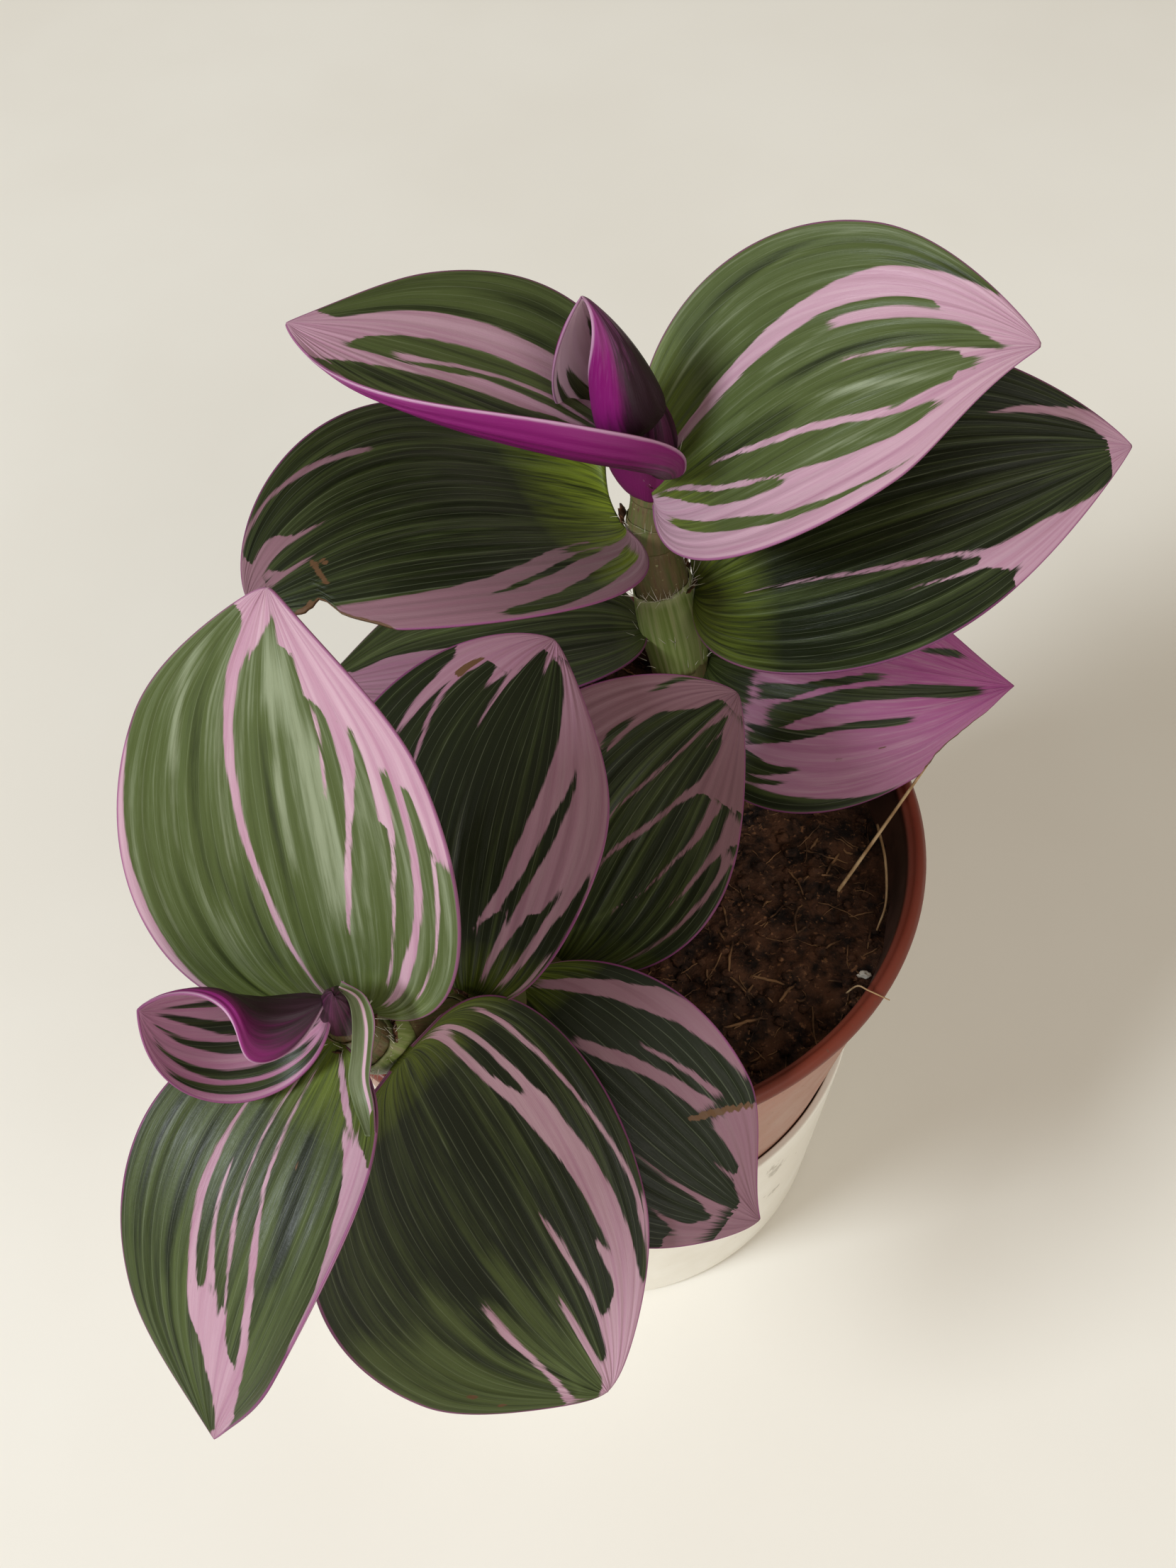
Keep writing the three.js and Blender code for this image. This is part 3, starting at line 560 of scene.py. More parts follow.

# %% [markdown]
# ## The stripes
# Each stripe is written as one brush stroke: a list of stations "u left right", where u is the
# way from base to tip and left and right are the stroke's two edges across the blade, all in
# percent (-100 is the left margin, 100 the right one, and 110 runs off the edge). Strokes were
# drawn leaf by leaf. `pink` lays a band, `green` paints green back over it and `line`
# draws a last pink line on top. `pale` and `deep` only change the tone of the green, and `brown`
# marks damage. A stroke becomes a smooth field, millimetres inside its edge, so the finish can
# roughen the edge afterwards. This keeps the pattern crisp at any distance, which an image
# would not.

# %% Room for the strokes
STROKES = {}

def count_strokes(name):
    return sum(len(strokes) for strokes in STROKES[name].values())

print("leaves to paint", len(LEAVES))

# %% Strokes of leaf_a1
STROKES["leaf_a1"] = dict(
    pink=[
        "5 -36 -20, 10 -34 -25, 30 -40 -29, 50 -50 -36, 60 -57 -40, 70 -65 -42, 80 -71 -43, 83 -75 -30, "
        "86 -78 110, 90 -86 110, 92 -92 110, 93 -110 110, 100 -110 110",
        "58 -34 -27, 70 -35 -25, 80 -34 -25, 86 -36 -22",
        "0 2 110, 5 7 110, 10 15 110, 20 32 110, 30 42 110, 40 51 110, 50 57 110, 60 62 110, 70 67 110, "
        "78 66 110, 82 45 110, 88 46 110",
        "20 11 13, 30 17 21, 40 23 28, 50 29 34, 60 36 41, 70 43 50, 80 43 56, 84 45 60",
        "60 -4 -3, 70 -2 1, 80 4 7, 90 12 20, 94 18 30"],
    green=[
        "2 4 13, 5 11 20, 10 20 33, 15 30 42, 20 37 50, 25 42 54, 30 46 57, 35 49 58, 40 54 59, 41 56 58",
        "78 -25 3, 85 -24 8, 87 -20 10, 89 -14 12, 91 -6 15, 92 0 19, 93 6 21, 94 10 14",
        "70 2 45, 74 3 44, 75 4 41, 80 7 42, 82 8 36, 85 12 38, 86 22 40, 88 24 44, 89 28 40",
        "60 41 60, 70 50 62, 74 53 66, 76 55 67, 78 56 65, 81 60 66",
        "5 50 60, 10 55 68, 20 64 75, 30 70 80, 40 79 85, 50 83 88, 60 87 90, 70 90 92, 74 92 93"],
    pale=[
        "12 -67 -64, 20 -70 -68, 30 -75 -72, 40 -79 -77, 50 -83 -81, 62 -88 -87",
        "42 -22 -21, 50 -25 -24, 58 -29 -27", "20 -1 0, 35 1 2, 50 -2 -1, 60 -4 -3",
        "48 8 12, 60 14 20, 70 21 27, 80 30 35, 88 36 40", "60 55 57, 66 59 61, 70 63 65"],
    deep=[
        "74 -74 -69, 80 -80 -71, 88 -92 -78, 92 -98 -90",
        "12 -80 -68, 30 -84 -74, 45 -88 -80, 60 -92 -88", "45 -10 -4, 60 -13 -5, 75 -12 -3, 88 -4 6",
        "12 3 12, 25 2 18, 38 4 21, 45 9 20, 48 12 16"])
print("leaf_a1 strokes", count_strokes("leaf_a1"))

# %% Strokes of leaf_a2
STROKES["leaf_a2"] = dict(
    pink=[
        "5 15 28, 15 24 42, 30 32 55, 50 35 58, 65 33 59, 75 27 58, 80 20 57, 83 10 55, 86 -60 52, "
        "89 -62 50, 90 -70 55, 93 -110 75, 95 -110 110, 100 -110 110",
        "20 2 6, 30 2 8, 40 -4 9, 50 -4 9, 60 -7 4, 70 -12 -2, 80 -25 -5, 85 -38 -10, 88 -55 -10",
        "20 -110 -80, 60 -110 -78, 85 -110 -70"],
    green=[
        "5 8 14, 15 14 24, 30 20 32, 40 19 34, 50 18 35, 60 13 34, 70 7 31, 75 2 27, 80 -4 20, 83 -8 9, "
        "85 -9 -2",
        "5 4 8, 15 7 12, 30 9 16, 40 11 17, 50 10 16, 60 4 10, 65 1 7, 70 -2 2",
        "10 0 4, 30 -8 2, 40 -22 -5, 50 -26 -6, 60 -32 -9, 70 -38 -16, 80 -50 -28, 85 -56 -40, 89 -60 -57"],
    line=["10 8 10, 30 16 20, 45 16.5 19.5, 55 13 16, 65 6 11, 72 0 8"],
    deep=[
        "30 56 62, 60 59 67, 80 57 66, 88 52 60", "30 76 84, 45 76 84, 55 78 82",
        "10 0 4, 30 -8 2, 40 -22 -5, 50 -26 -6, 60 -32 -9, 70 -38 -16, 80 -50 -28, 85 -56 -40, 89 -60 -57"])
print("leaf_a2 strokes", count_strokes("leaf_a2"))

# %% Strokes of leaf_a3
STROKES["leaf_a3"] = dict(
    pink=["0 -110 110, 100 -110 110"],
    green=[
        "45 -24 -20, 52 -26 -15, 62 -27 -12, 72 -24 -14, 76 -20 -16",
        "8 -92 -80, 20 -94 -82, 40 -92 -84, 50 -90 -86", "5 -72 -56, 20 -76 -58, 38 -74 -62, 48 -70 -66"])
print("leaf_a3 strokes", count_strokes("leaf_a3"))

# %% Strokes of leaf_a4
STROKES["leaf_a4"] = dict(
    pink=[
        "0 -110 -36, 5 -110 -37, 10 -110 -39, 15 -110 -28, 20 -110 -30, 25 -110 -33, 30 -110 -38, "
        "35 -110 -44, 40 -110 -49, 50 -110 -57, 60 -110 -62, 70 -110 -64, 80 -110 -66, 86 -110 -66",
        "78 26 27, 82 27 31, 85 28 34, 87 29 44, 88 29.5 52, 90 30 57, 92 30 60, 95 25 60, 96 -5 110, "
        "100 -110 110",
        "85 1 4, 88 0 5, 91 -1 6, 93 -3 24, 95 -5 30",
        "60 64.5 68, 70 70 75, 80 78.5 82.5, 85 84 88, 90 88 93, 95 94 100"],
    green=[
        "5 -80 -50, 10 -79 -56, 15 -81 -60, 20 -84 -65, 25 -87 -70, 30 -91 -75, 35 -93.5 -80, 40 -95 -83, "
        "45 -96.5 -86, 50 -97 -89, 53 -95 -93",
        "12 -42 -38, 15 -44 -39, 20 -48 -41, 25 -53 -46, 30 -58 -52, 35 -63 -57, 40 -67 -62, 45 -71 -67, "
        "50 -73 -71, 53 -75.5 -74.5",
        "8 -38 -26, 15 -38 -29.5, 20 -40 -31.5, 25 -40 -36"],
    pale=[
        "5 72 78, 10 70 76, 20 68 73, 30 66.5 71, 40 64.5 68, 60 64 67", "8 54 57, 15 53 56, 25 52 54",
        "5 18 23, 12 21 25, 20 22.5 24", "5 -9 -6, 15 -4 -1, 25 -5 -3, 40 -11 -9, 60 -14 -13"],
    deep=["30 -40 -34, 50 -52 -44, 70 -60 -50"],
    brown=[
        "86 -100 -78, 90 -72 -52, 93 -86 -66, 95 -96 -76", "82 -14 -4, 83.4 -12 -5",
        "84.2 -36 0, 85.4 -36 0"])
print("leaf_a4 strokes", count_strokes("leaf_a4"))

# %% Strokes of leaf_a5
STROKES["leaf_a5"] = dict(
    pink=[
        "74.5 -50 -49, 80 -60 -53, 85 -68 -57, 88 -75 -59, 90 -85 -60, 92 -92 -58, 93 -95 -50, 95 -95 -33, "
        "95.5 -110 110, 100 -110 110",
        "15 31.5 32.5, 20 32 33.5, 30 34.5 36.5, 40 39 41.5, 50 43 46, 60 49 52.5, 65 55 59",
        "64 54 58, 66 57 66, 68 59 78, 70 60 82, 72 60.5 110, 78 62 110, 80 63 110, 83 67 110, 86 74 110, "
        "88 78 110, 90 84 110, 92 90 110, 95 100 110",
        "50 60 60.5, 55 62 64, 60 64.5 67, 65 66 69.5, 68 67 74"],
    green=["60 68 110, 65 70 110, 68 76 98, 70 80 97, 71 83 92, 72 86 89"],
    pale=[
        "8 93 96, 20 91 94, 30 92 94, 40 94 95.5, 50 97 98.5", "78 60 62, 84 66 70, 88 74 80, 90 80 86",
        "84 21 22, 88 23 26, 93 25 30, 95 27 32", "90 1 4, 95 -2 5"])
print("leaf_a5 strokes", count_strokes("leaf_a5"))

# %% Strokes of leaf_a6
STROKES["leaf_a6"] = dict(
    pink=["18 -110 110, 100 -110 110"],
    green=[
        "20 5 20, 30 2 14, 35 0 8, 40 -5 2, 45 -8 -1, 50 -12 -5, 55 -16 -9, 60 -17 -12",
        "25 20 45, 30 16 36, 35 12 28, 40 7 22, 45 2 15, 50 -1 11, 55 -4 8, 60 -6 7, 65 -8 6.5, 70 -10 5, "
        "75 -11 7, 80 -12 11, 85 -11 14, 90 -9 17",
        "20 40 60, 25 38 53, 30 36 48, 35 36 44, 40 33 40, 45 31 35, 50 28.5 33, 55 26 33, 60 26 34, "
        "65 26.5 35, 70 28 34",
        "20 60 82, 22 62 80, 28 66 75, 33 65 71, 37 64 67", "22 80 86, 28 78 83, 34 76 78",
        "22 85 110, 30 86 110, 40 87 110, 50 90 110, 60 96 110, 65 98 110",
        "72 -54 -50, 76 -62 -53, 80 -70 -57, 83 -76 -62, 84 -74 -68"],
    brown=[
        "59 52 54, 62 52 54", "47 57 59, 50 57 59"])
print("leaf_a6 strokes", count_strokes("leaf_a6"))

# %% Strokes of leaf_a7
STROKES["leaf_a7"] = dict(
    pink=["40 -110 2, 60 -110 8, 70 -110 12, 80 -110 16, 90 -110 8, 93 -110 30, 96 -110 110, 100 -110 110"],
    pale=["68 46 50, 75 42 47, 85 38 44, 88 33 42"])
print("leaf_a7 strokes", count_strokes("leaf_a7"))

# %% Strokes of leaf_b1
STROKES["leaf_b1"] = dict(
    pink=[
        "5 -19 -15, 10 -20 -17.5, 20 -24 -21, 30 -27 -23.5, 40 -31 -26.5, 50 -34 -29.5, 60 -37 -31, "
        "70 -39.5 -32.5, 78 -41.5 -32, 82 -44 -33, 86 -44 -24, 88 -45 -18, 90 -46 -15, 92 -50 -8, "
        "94 -62 2, 96 -110 110, 100 -110 110",
        "50 95 110, 53 88 110, 58 87 110, 64 86 110, 66 81 110, 68 74 110, 72 60 110, 75 58.5 110, "
        "77 40 110, 80 27 110, 86 30 110, 88 31 110, 89 12 110, 92 13 110, 94 16 110, 96 -60 110, "
        "100 -110 110",
        "58 22 24, 65 25 27.5, 70 27 29, 76 28 31",
        "25 20 21, 30 22 25, 40 26 29.5, 50 31 34.5, 55 34 38.5, 60 36.5 43, 65 39 48, 70 39 52, 74 40 54, "
        "77 40 60",
        "12 48 50, 20 50 52, 30 52 54.5, 40 55 57.5, 50 59 62, 54 60 65, 55 56 65, 60 57 66, 65 58 67, "
        "68 58.5 74, 75 58 110",
        "5 55 62, 10 57 65, 20 60 68, 30 66 72, 40 70 75.5, 50 72.5 77.5, 60 73.5 79, 65 74 80, 68 74 82",
        "12 79 81, 20 80 82, 30 83 85, 40 85 88, 50 87 90, 52 88 110",
        "5 -110 -96, 25 -110 -94, 35 -110 -94, 50 -110 -96, 65 -110 -98"],
    green=[
        "70 -32 -20, 80 -32 -22, 85 -31 -23, 86 -29 -25",
        "84 -16 27, 87 -17 20, 88 -17 12, 90 -14 9, 92 -7 12, 93 0 13, 94.5 5 14",
        "58 24 33, 60 25 33, 65 27.5 36, 70 29 38, 75 31 38, 77 33 38",
        "50 37 53, 55 39 54, 58 42 55, 60 45 56, 63 46 56, 65 49 57, 70 52 58, 74 54 58",
        "50 62 72, 54 65 73, 60 66 73, 65 67 73, 67 68 73", "50 78 87, 55 79 86, 60 79 85, 64 80 85"],
    pale=[
        "75 -22 -18, 87 -22 -17", "35 36 37, 45 39 40, 55 43 44", "40 -8 -4, 60 -9 -5",
        "62 -72 -68, 75 -76 -72, 85 -84 -78", "28 10 30, 72 8 26", "74 -14 14, 88 -10 16"],
    deep=[
        "10 -45 -30, 25 -44 -31, 36 -40 -33",
        "30 -58 -46, 50 -60 -48, 65 -63 -52, 75 -68 -55, 82 -64 -58, 88 -73 -67",
        "5 -12 -6, 60 -15 -9, 72 -14 -10", "5 -74 -66, 20 -74 -66, 38 -72 -68"])
print("leaf_b1 strokes", count_strokes("leaf_b1"))

# %% Strokes of leaf_b2
STROKES["leaf_b2"] = dict(
    pink=["0 -110 110, 100 -110 110"],
    green=[
        "15 0 20, 55 2 18, 70 3 17, 86 5 13", "15 -44 -28, 50 -34 -18, 70 -21 -9, 88 -11 -6",
        "10 -60 -47, 45 -56 -43, 70 -47 -38, 88 -37 -33",
        "15 -80 -68, 50 -80 -70, 60 -77 -68, 85 -66 -61", "8 -95 -84, 50 -93 -84, 75 -92 -85",
        "20 34 46, 50 36 44, 72 38 42"])
print("leaf_b2 strokes", count_strokes("leaf_b2"))

# %% Strokes of leaf_b3
STROKES["leaf_b3"] = dict(
    pink=[
        "60 26 34.5, 61 5 34, 65 -10 33, 67 -14 32, 70 -16 30, 73 -20 20, 75 -32 17, 77 -40 14, 80 -46 9, "
        "84 -48 0, 86 -60 -6, 88 -86 -12, 91 -92 -22, 94 -96 -30, 96 -110 -40, 100 -110 110",
        "20 38 39.5, 25 37.5 40.5, 30 36.5 41, 40 34.5 41, 50 31 38, 55 29 36.5, 60 26 34.5, 62 20 34",
        "33 25 25.6, 35 23.5 25.5, 40 21.5 24.5, 45 19.5 22, 50 16.5 19.5, 55 11 17.5, 58 7 17, 61 5 17",
        "12 13 14, 20 13 14.5, 30 10 12, 35 9 10.5, 40 6.5 9, 50 0 3, 60 -6 -3, 65 -11 -8",
        "8 2 3.5, 20 -1 1.5, 30 -4.5 -1.5, 40 -13 -8.5, 50 -22 -16.5, 60 -32 -25, 70 -42 -33, 75 -48 -38, "
        "80 -55 -42, 85 -66 -46, 88 -80 -50",
        "15 -70 -50, 20 -110 -60, 28 -110 -70, 35 -110 -75, 42 -110 -81, 46 -110 -90, 60 -110 -97",
        "2 -30 -22, 5 -38 -27, 10 -52 -40, 15 -66 -58"],
    green=[
        "55 0 10, 60 -2 5, 63 -3 3, 65 -2 1", "50 20 28, 55 18 28, 58 16.5 27, 60 17 24"],
    deep=[
        "15 -28 -18, 30 -36 -20, 40 -42 -28, 50 -50 -36", "25 42 55, 45 48 56, 60 55 60"],
    brown=["25.5 -24 -22, 27.5 -24 -22"])
print("leaf_b3 strokes", count_strokes("leaf_b3"))

# %% Strokes of leaf_b4
STROKES["leaf_b4"] = dict(
    pink=[
        "2 -64 -44, 5 -62 -42, 10 -61.5 -40.5, 20 -62.5 -43.5, 30 -66 -49, 35 -69 -51.5, 40 -70 -53, "
        "50 -73.5 -57.5, 60 -77.5 -60.5, 65 -80 -61, 70 -81 -55, 75 -83 -57, 80 -87 -61, 82 -90 -61, "
        "83 -92 -52, 84 -94 -50, 85 -110 -40, 92 -110 -40, 94 -110 -12, 96 -110 -12, 98 -110 0, "
        "100 -110 110",
        "56 -32 -30.5, 60 -33.5 -30.5, 65 -35 -30.5, 70 -36 -31.5, 75 -38 -33.5, 80 -40 -36, 85 -43 -38, "
        "90 -50 -40",
        "75 -16 -12, 80 -17 -11.5, 85 -18 -11, 90 -20 -11, 93 -24 -10.5, 95 -40 -10",
        "63 26.5 29, 70 26.5 31.5, 75 28 33, 80 30 34.5, 85 33.5 39, 88 38 45, 90 42 51, 92 50 63, "
        "94 60 80, 96 78 110",
        "5 -86 -81, 10 -82.5 -78.5, 20 -81 -77.5, 30 -82.5 -80, 40 -85 -83, 50 -88.5 -86.5, 60 -93 -90, "
        "68 -95.5 -92.5, 72 -96 -91, 76 -95 -93",
        "68 -110 -97, 72 -110 -96, 78 -110 -97, 84 -110 -99"],
    green=[
        "5 -57 -49, 10 -56.5 -47, 15 -57.5 -47.5, 20 -57.5 -49, 25 -59 -53, 30 -61 -58",
        "58 -60 -50, 62 -61 -52, 66 -61.5 -54.5, 70 -63 -58, 73 -64 -62",
        "76 -57 -39, 80 -60 -40, 82 -60 -42, 84 -52 -43",
        "80 -35.5 -17, 85 -37.5 -18.5, 90 -40 -21, 92.5 -40 -25",
        "70 -91 -82, 75 -93 -84, 80 -97 -88, 84 -98 -94"],
    pale=[
        "88 23 25, 91 25 31, 94 34 45, 96 50 75", "46 84 110, 56 82 110, 100 76 110",
        "56 62 76, 66 59 76, 100 50 74", "50 42 54, 60 40 54, 100 32 50", "62 20 34, 72 16 34, 100 8 28",
        "56 2 12, 68 -2 12, 100 -8 6", "68 -16 -7, 80 -20 -8, 100 -24 -10"],
    deep=[
        "55 -8 -2, 65 -8 0, 80 -8 0", "50 14 36, 62 12 32", "65 32 42, 72 33 45, 80 38 46"],
    brown=[
        "76 80 84, 78 80 84", "83 85 90, 84.4 85 90"])
print("leaf_b4 strokes", count_strokes("leaf_b4"))

# %% Strokes of leaf_b5
STROKES["leaf_b5"] = dict(
    pink=[
        "60 -71 -68.5, 65 -73 -67, 70 -75 -66, 75 -77 -64.5, 80 -83 -60, 82 -86 -57, 84 -98 -57, "
        "85 -110 -57, 86 -110 -18, 90 -110 -13, 94 -110 -12, 96 -110 -8, 97 -110 110, 100 -110 110",
        "79 -33 -31.5, 81 -36 -29, 83 -40 -26, 86 -45 -20",
        "70 -18 -17, 78 -19 -16.5, 84 -22 -16, 88 -24 -14",
        "55 -49 -47.5, 60 -52 -49.5, 65 -56 -53, 70 -60 -57, 74 -63 -59, 80 -64 -60",
        "91 18 22, 94 12 26, 97 8 30",
        "18 17 20, 22 24 33, 25 28 110, 30 33 110, 35 36 110, 40 39 110, 50 44 110, 60 49 110, 70 54 110, "
        "80 57.5 110, 88 60 110, 92 60 110, 94 55 110, 96 15 110",
        "6 33 40, 10 36 43, 15 39 49, 20 43 57, 26 48 65",
        "6 63 70, 10 67 75, 15 71 80, 20 75 83, 26 78 88", "5 92 97, 12 93 96, 25 96 98"],
    green=[
        "22 36 47, 25 38 50, 30 45 54, 35 49 58, 40 53 62, 45 56 65, 50 59 67, 55 64 70, 60 68 73, "
        "65 72 73.5",
        "15 59 70, 20 65 74, 25 71 78, 29 77 80", "15 82 97, 20 85 98, 25 88 99, 30 92 99, 35 95 99"],
    pale=["68 23 24.5, 75 23 24.5, 85 24 26, 92 25 27"],
    brown=["78 -68 -60, 81 -70 -62, 85 -66 -62"])
print("leaf_b5 strokes", count_strokes("leaf_b5"))

# %% Strokes of leaf_b6
STROKES["leaf_b6"] = dict(
    pink=[
        "58 -110 -60, 60 -110 -37, 65 -110 -38, 70 -110 -39.5, 78 -110 -40, 80 -110 -37, 82 -110 -33, "
        "84 -110 -30, 86 -110 -24, 88 -110 -20, 94 -110 -19, 95 -110 -5, 96 -110 110, 100 -110 110",
        "45 -4 -3, 50 -3 -1.5, 60 2.5 5, 70 7 10, 80 9.5 13.5, 88 10.5 15, 92 11 22, 95 10 110",
        "33 8 9.5, 37 11 13.5, 40 13 17, 45 18 23, 50 23 27.5, 55 28 31.5, 60 31.5 36, 65 36 43, 68 39 48, "
        "70 42 60, 71 43 76, 73 44 110, 78 47 110, 83 48.5 110, 86 47 110, 88 40 110, 90 38 110, "
        "93 37 110, 95 20 110",
        "82 31 32, 86 36 39, 88 38 42", "86 15 17, 89 14 24, 92 12 27",
        "22 35 36, 30 46 47, 35 49 50.5, 40 51.5 53.5, 45 54 57, 50 57.5 61, 55 60 65, 60 61 68, "
        "65 61.5 71, 70 62.5 76",
        "32 70 71, 40 73 75.5, 45 75 78, 50 77 81, 55 79 86, 60 81 92, 65 82 110, 70 84 110",
        "8 78 80, 20 81.5 84, 30 84 87, 40 87 91, 50 90 95, 54 89 97, 58 87 110"],
    green=[
        "60 -45 -40, 65 -50 -42, 70 -50 -44, 71 -49 -46",
        "82 -76 -70, 84 -80 -70, 87 -86 -76, 90 -92 -83, 92 -93 -88"],
    pale=["10 10 11, 14 20 21, 18 29 30, 22 35 36"])
print("leaf_b6 strokes", count_strokes("leaf_b6"))

# %% Strokes of leaf_b7
STROKES["leaf_b7"] = dict(
    pink=[
        "70 -62 -42, 72 -72 -43, 74 -84 -44, 76 -98 -45, 78 -110 -46, 80 -110 -47.5, 83 -110 -50, "
        "85 -110 -52, 86 -110 -32, 88 -110 -24, 90 -110 -20, 92 -110 -12, 93 -110 110, 100 -110 110",
        "80 -26 -24, 83 -30 -26, 86 -38 -28",
        "60 19 20, 65 18.5 20.5, 70 18.5 21.5, 75 18 22.5, 80 17.5 24, 83 17 27, 85 16.5 32, 87 16 37, "
        "90 14 110",
        "74 53 55, 77 56 60, 80 58 66, 82 60 110, 84 60 110, 86 52 110, 88 48 110, 90 42 110",
        "5 -50 -30, 10 -66 -45, 15 -76 -53, 20 -83 -62, 25 -87 -67, 30 -95 -70, 40 -99 -79, 50 -110 -85, "
        "60 -110 -91, 68 -110 -95",
        "25 -19 -11, 30 -26 -14, 35 -32 -20, 40 -38 -26, 45 -42 -31, 50 -46 -35.5, 55 -50 -38.5, "
        "60 -53 -41.5, 66 -60 -43",
        "40 -50 -48, 45 -55 -51, 50 -58.5 -55, 55 -62 -58, 60 -65 -60.5, 66 -70 -63"],
    green=["77 61 68, 79 64 76, 81 70 80"],
    brown=["64 -35 -31, 66 -47 -36, 69 -62 -50, 73 -81 -72, 76 -101 -92"])
print("leaf_b7 strokes", count_strokes("leaf_b7"))

# %% [markdown]
# ## Colouring one leaf
# Leaves differ in how light their green is, how yellow the base is and how dusky the pink is:
# old leaves low on the shoot are deeper, and as these also lie in shade, their darker green and
# duskier pink are partly painted shade. These differences could be painted into the strokes,
# but a few numbers per leaf are kept apart from them, so that a whole leaf can be lightened
# without touching its pattern.

# %% The mood of each leaf
# lightness of the green, strength and reach of the yellow-green base, duskiness of the pink (partly
# painted shade on the leaves in shade), and its redness, where a negative number gives pale lilac,
# a painted glow of light through the leaf
LEAF_MOOD = {
    "leaf_a1": (0.35, 0.6, 0.22, 0.1, 0.0),
    "leaf_a2": (0.15, 0.2, 0.1, 0.15, 0.1),
    # the negative last number gives the inner face pale lilac, a painted glow of light through the leaf
    "leaf_a3": (0.0, 0.0, 0.1, 0.0, -1.0),
    "leaf_a4": (-0.45, 1.0, 0.25, 0.8, 0.1),
    "leaf_a5": (-0.6, 0.65, 0.22, 0.15, 0.1),
    "leaf_a6": (-0.4, 0.1, 0.15, 0.2, 1.0),
    "leaf_a7": (-0.4, 0.2, 0.1, 0.5, 0.3),
    "leaf_b1": (0.5, 0.3, 0.15, 0.05, 0.0),
    "leaf_b2": (-0.5, 0.0, 0.1, 0.3, 0.5),
    "leaf_b3": (-0.15, 0.6, 0.2, 0.2, 0.1),
    "leaf_b4": (-0.55, 0.5, 0.12, 0.1, 0.0),
    "leaf_b5": (-0.7, 0.4, 0.15, 0.5, 0.3),
    "leaf_b6": (-0.5, 0.3, 0.15, 0.9, 0.2),
    "leaf_b7": (-1.2, 0.5, 0.15, 0.8, 0.2),
}
# where the bright magenta of a rolled young leaf's underside starts, and where it is full
YOUNG_GLOW = {"leaf_a3": (0.55, 0.8), "leaf_b2": (0.45, 0.85)}
print("moods", len(LEAF_MOOD), "young leaves", list(YOUNG_GLOW))

# %% Fields from the strokes
FIELD_LIMIT, VEIN_JITTER, END_SLOPE = 1.5, 0.0015, 0.2
TONE_CHANGES = (("pale", 0.6), ("deep", -0.5))

def vein_jitter(v, widest):
    """A small shift along each vein, so that a band's end breaks up into separate streaks."""
    across = v * widest
    waves = np.sin(across * 2.2 + 1.7) + np.sin(across * 4.5 + 0.4) * 0.8 + np.sin(across * 8) * 0.5
    return VEIN_JITTER * waves

def stations_of(text):
    """The numbers of a stroke, written in percent, one row for each station."""
    return np.array([[float(n) for n in station.split()] for station in text.split(",")]) / 100

def stroke_depth(stroke, u, v, half, length):
    """Millimetres inside one stroke's edge, negative outside, for every point of the sheet."""
    stations = stations_of(stroke)
    reach = u[:, None] + vein_jitter(v, half.max())
    left = np.interp(reach, stations[:, 0], stations[:, 1])
    right = np.interp(reach, stations[:, 0], stations[:, 2])
    depth = np.minimum(v - left, right - v) * half
    begin, end = stations[0, 0], stations[-1, 0]
    if begin > 0:
        depth = np.minimum(depth, (reach - begin) * length * END_SLOPE)
    if end < 1:
        depth = np.minimum(depth, (end - reach) * length * END_SLOPE)
    return depth

def marks_of(name, u, v, half, length):
    """The pink field, the tone of the green, and the browned places of one leaf."""
    strokes = STROKES[name]
    pink = np.full(v.shape, -FIELD_LIMIT)
    tone = np.full(v.shape, LEAF_MOOD[name][0])
    brown = np.zeros(v.shape)
    for kind, paint in (("pink", 1), ("green", -1), ("line", 1)):
        for stroke in strokes.get(kind, []):
            depth = paint * stroke_depth(stroke, u, v, half, length)
            pink = np.maximum(pink, depth) if paint > 0 else np.minimum(pink, depth)
    for kind, change in TONE_CHANGES:
        for stroke in strokes.get(kind, []):
            tone += change * np.clip(0.5 + stroke_depth(stroke, u, v, half, length) / 1.2, 0, 1)
    for stroke in strokes.get("brown", []):
        depth = stroke_depth(stroke, u, v, half, length * 4)
        brown = np.maximum(brown, np.clip(0.5 + depth / 0.5, 0, 1))
    return np.clip(pink, -FIELD_LIMIT, FIELD_LIMIT), tone, brown

print("leaves with strokes", len(STROKES))

# %% [markdown]
# ## Building the leaves
# The middle sheet gets two faces, half a millimetre apart and thinner at the margin, joined by
# a narrow rim. A Solidify modifier could do this too, but here the values that the finishes
# read can be worked out for each point. Fine long waves lift the surface between the veins, and
# the midrib is a shallow groove, so the light breaks over the leaf as it does on a juicy blade.
# Two leaves are torn: `BITES` says how far the blade still reaches along the torn margin.

# %% Torn margins and the grid of a blade
BITES = {
    "leaf_a4": (LEFT, "76 100, 78 98, 81 90, 85 80, 86.5 70, 87.2 52, 88.5 51, 90 60, 92 68, 94 75, "
                      "95.3 80, 95.9 97, 97 100"),
    "leaf_a6": (RIGHT, "71 100, 73 96, 75 92, 77 86, 80 84, 84 84, 88 88, 90 93, 92 98, 93 100"),
}
BIG_GRID, YOUNG_GRID = (84, 112), (70, 112)
TIP_END = 0.9985

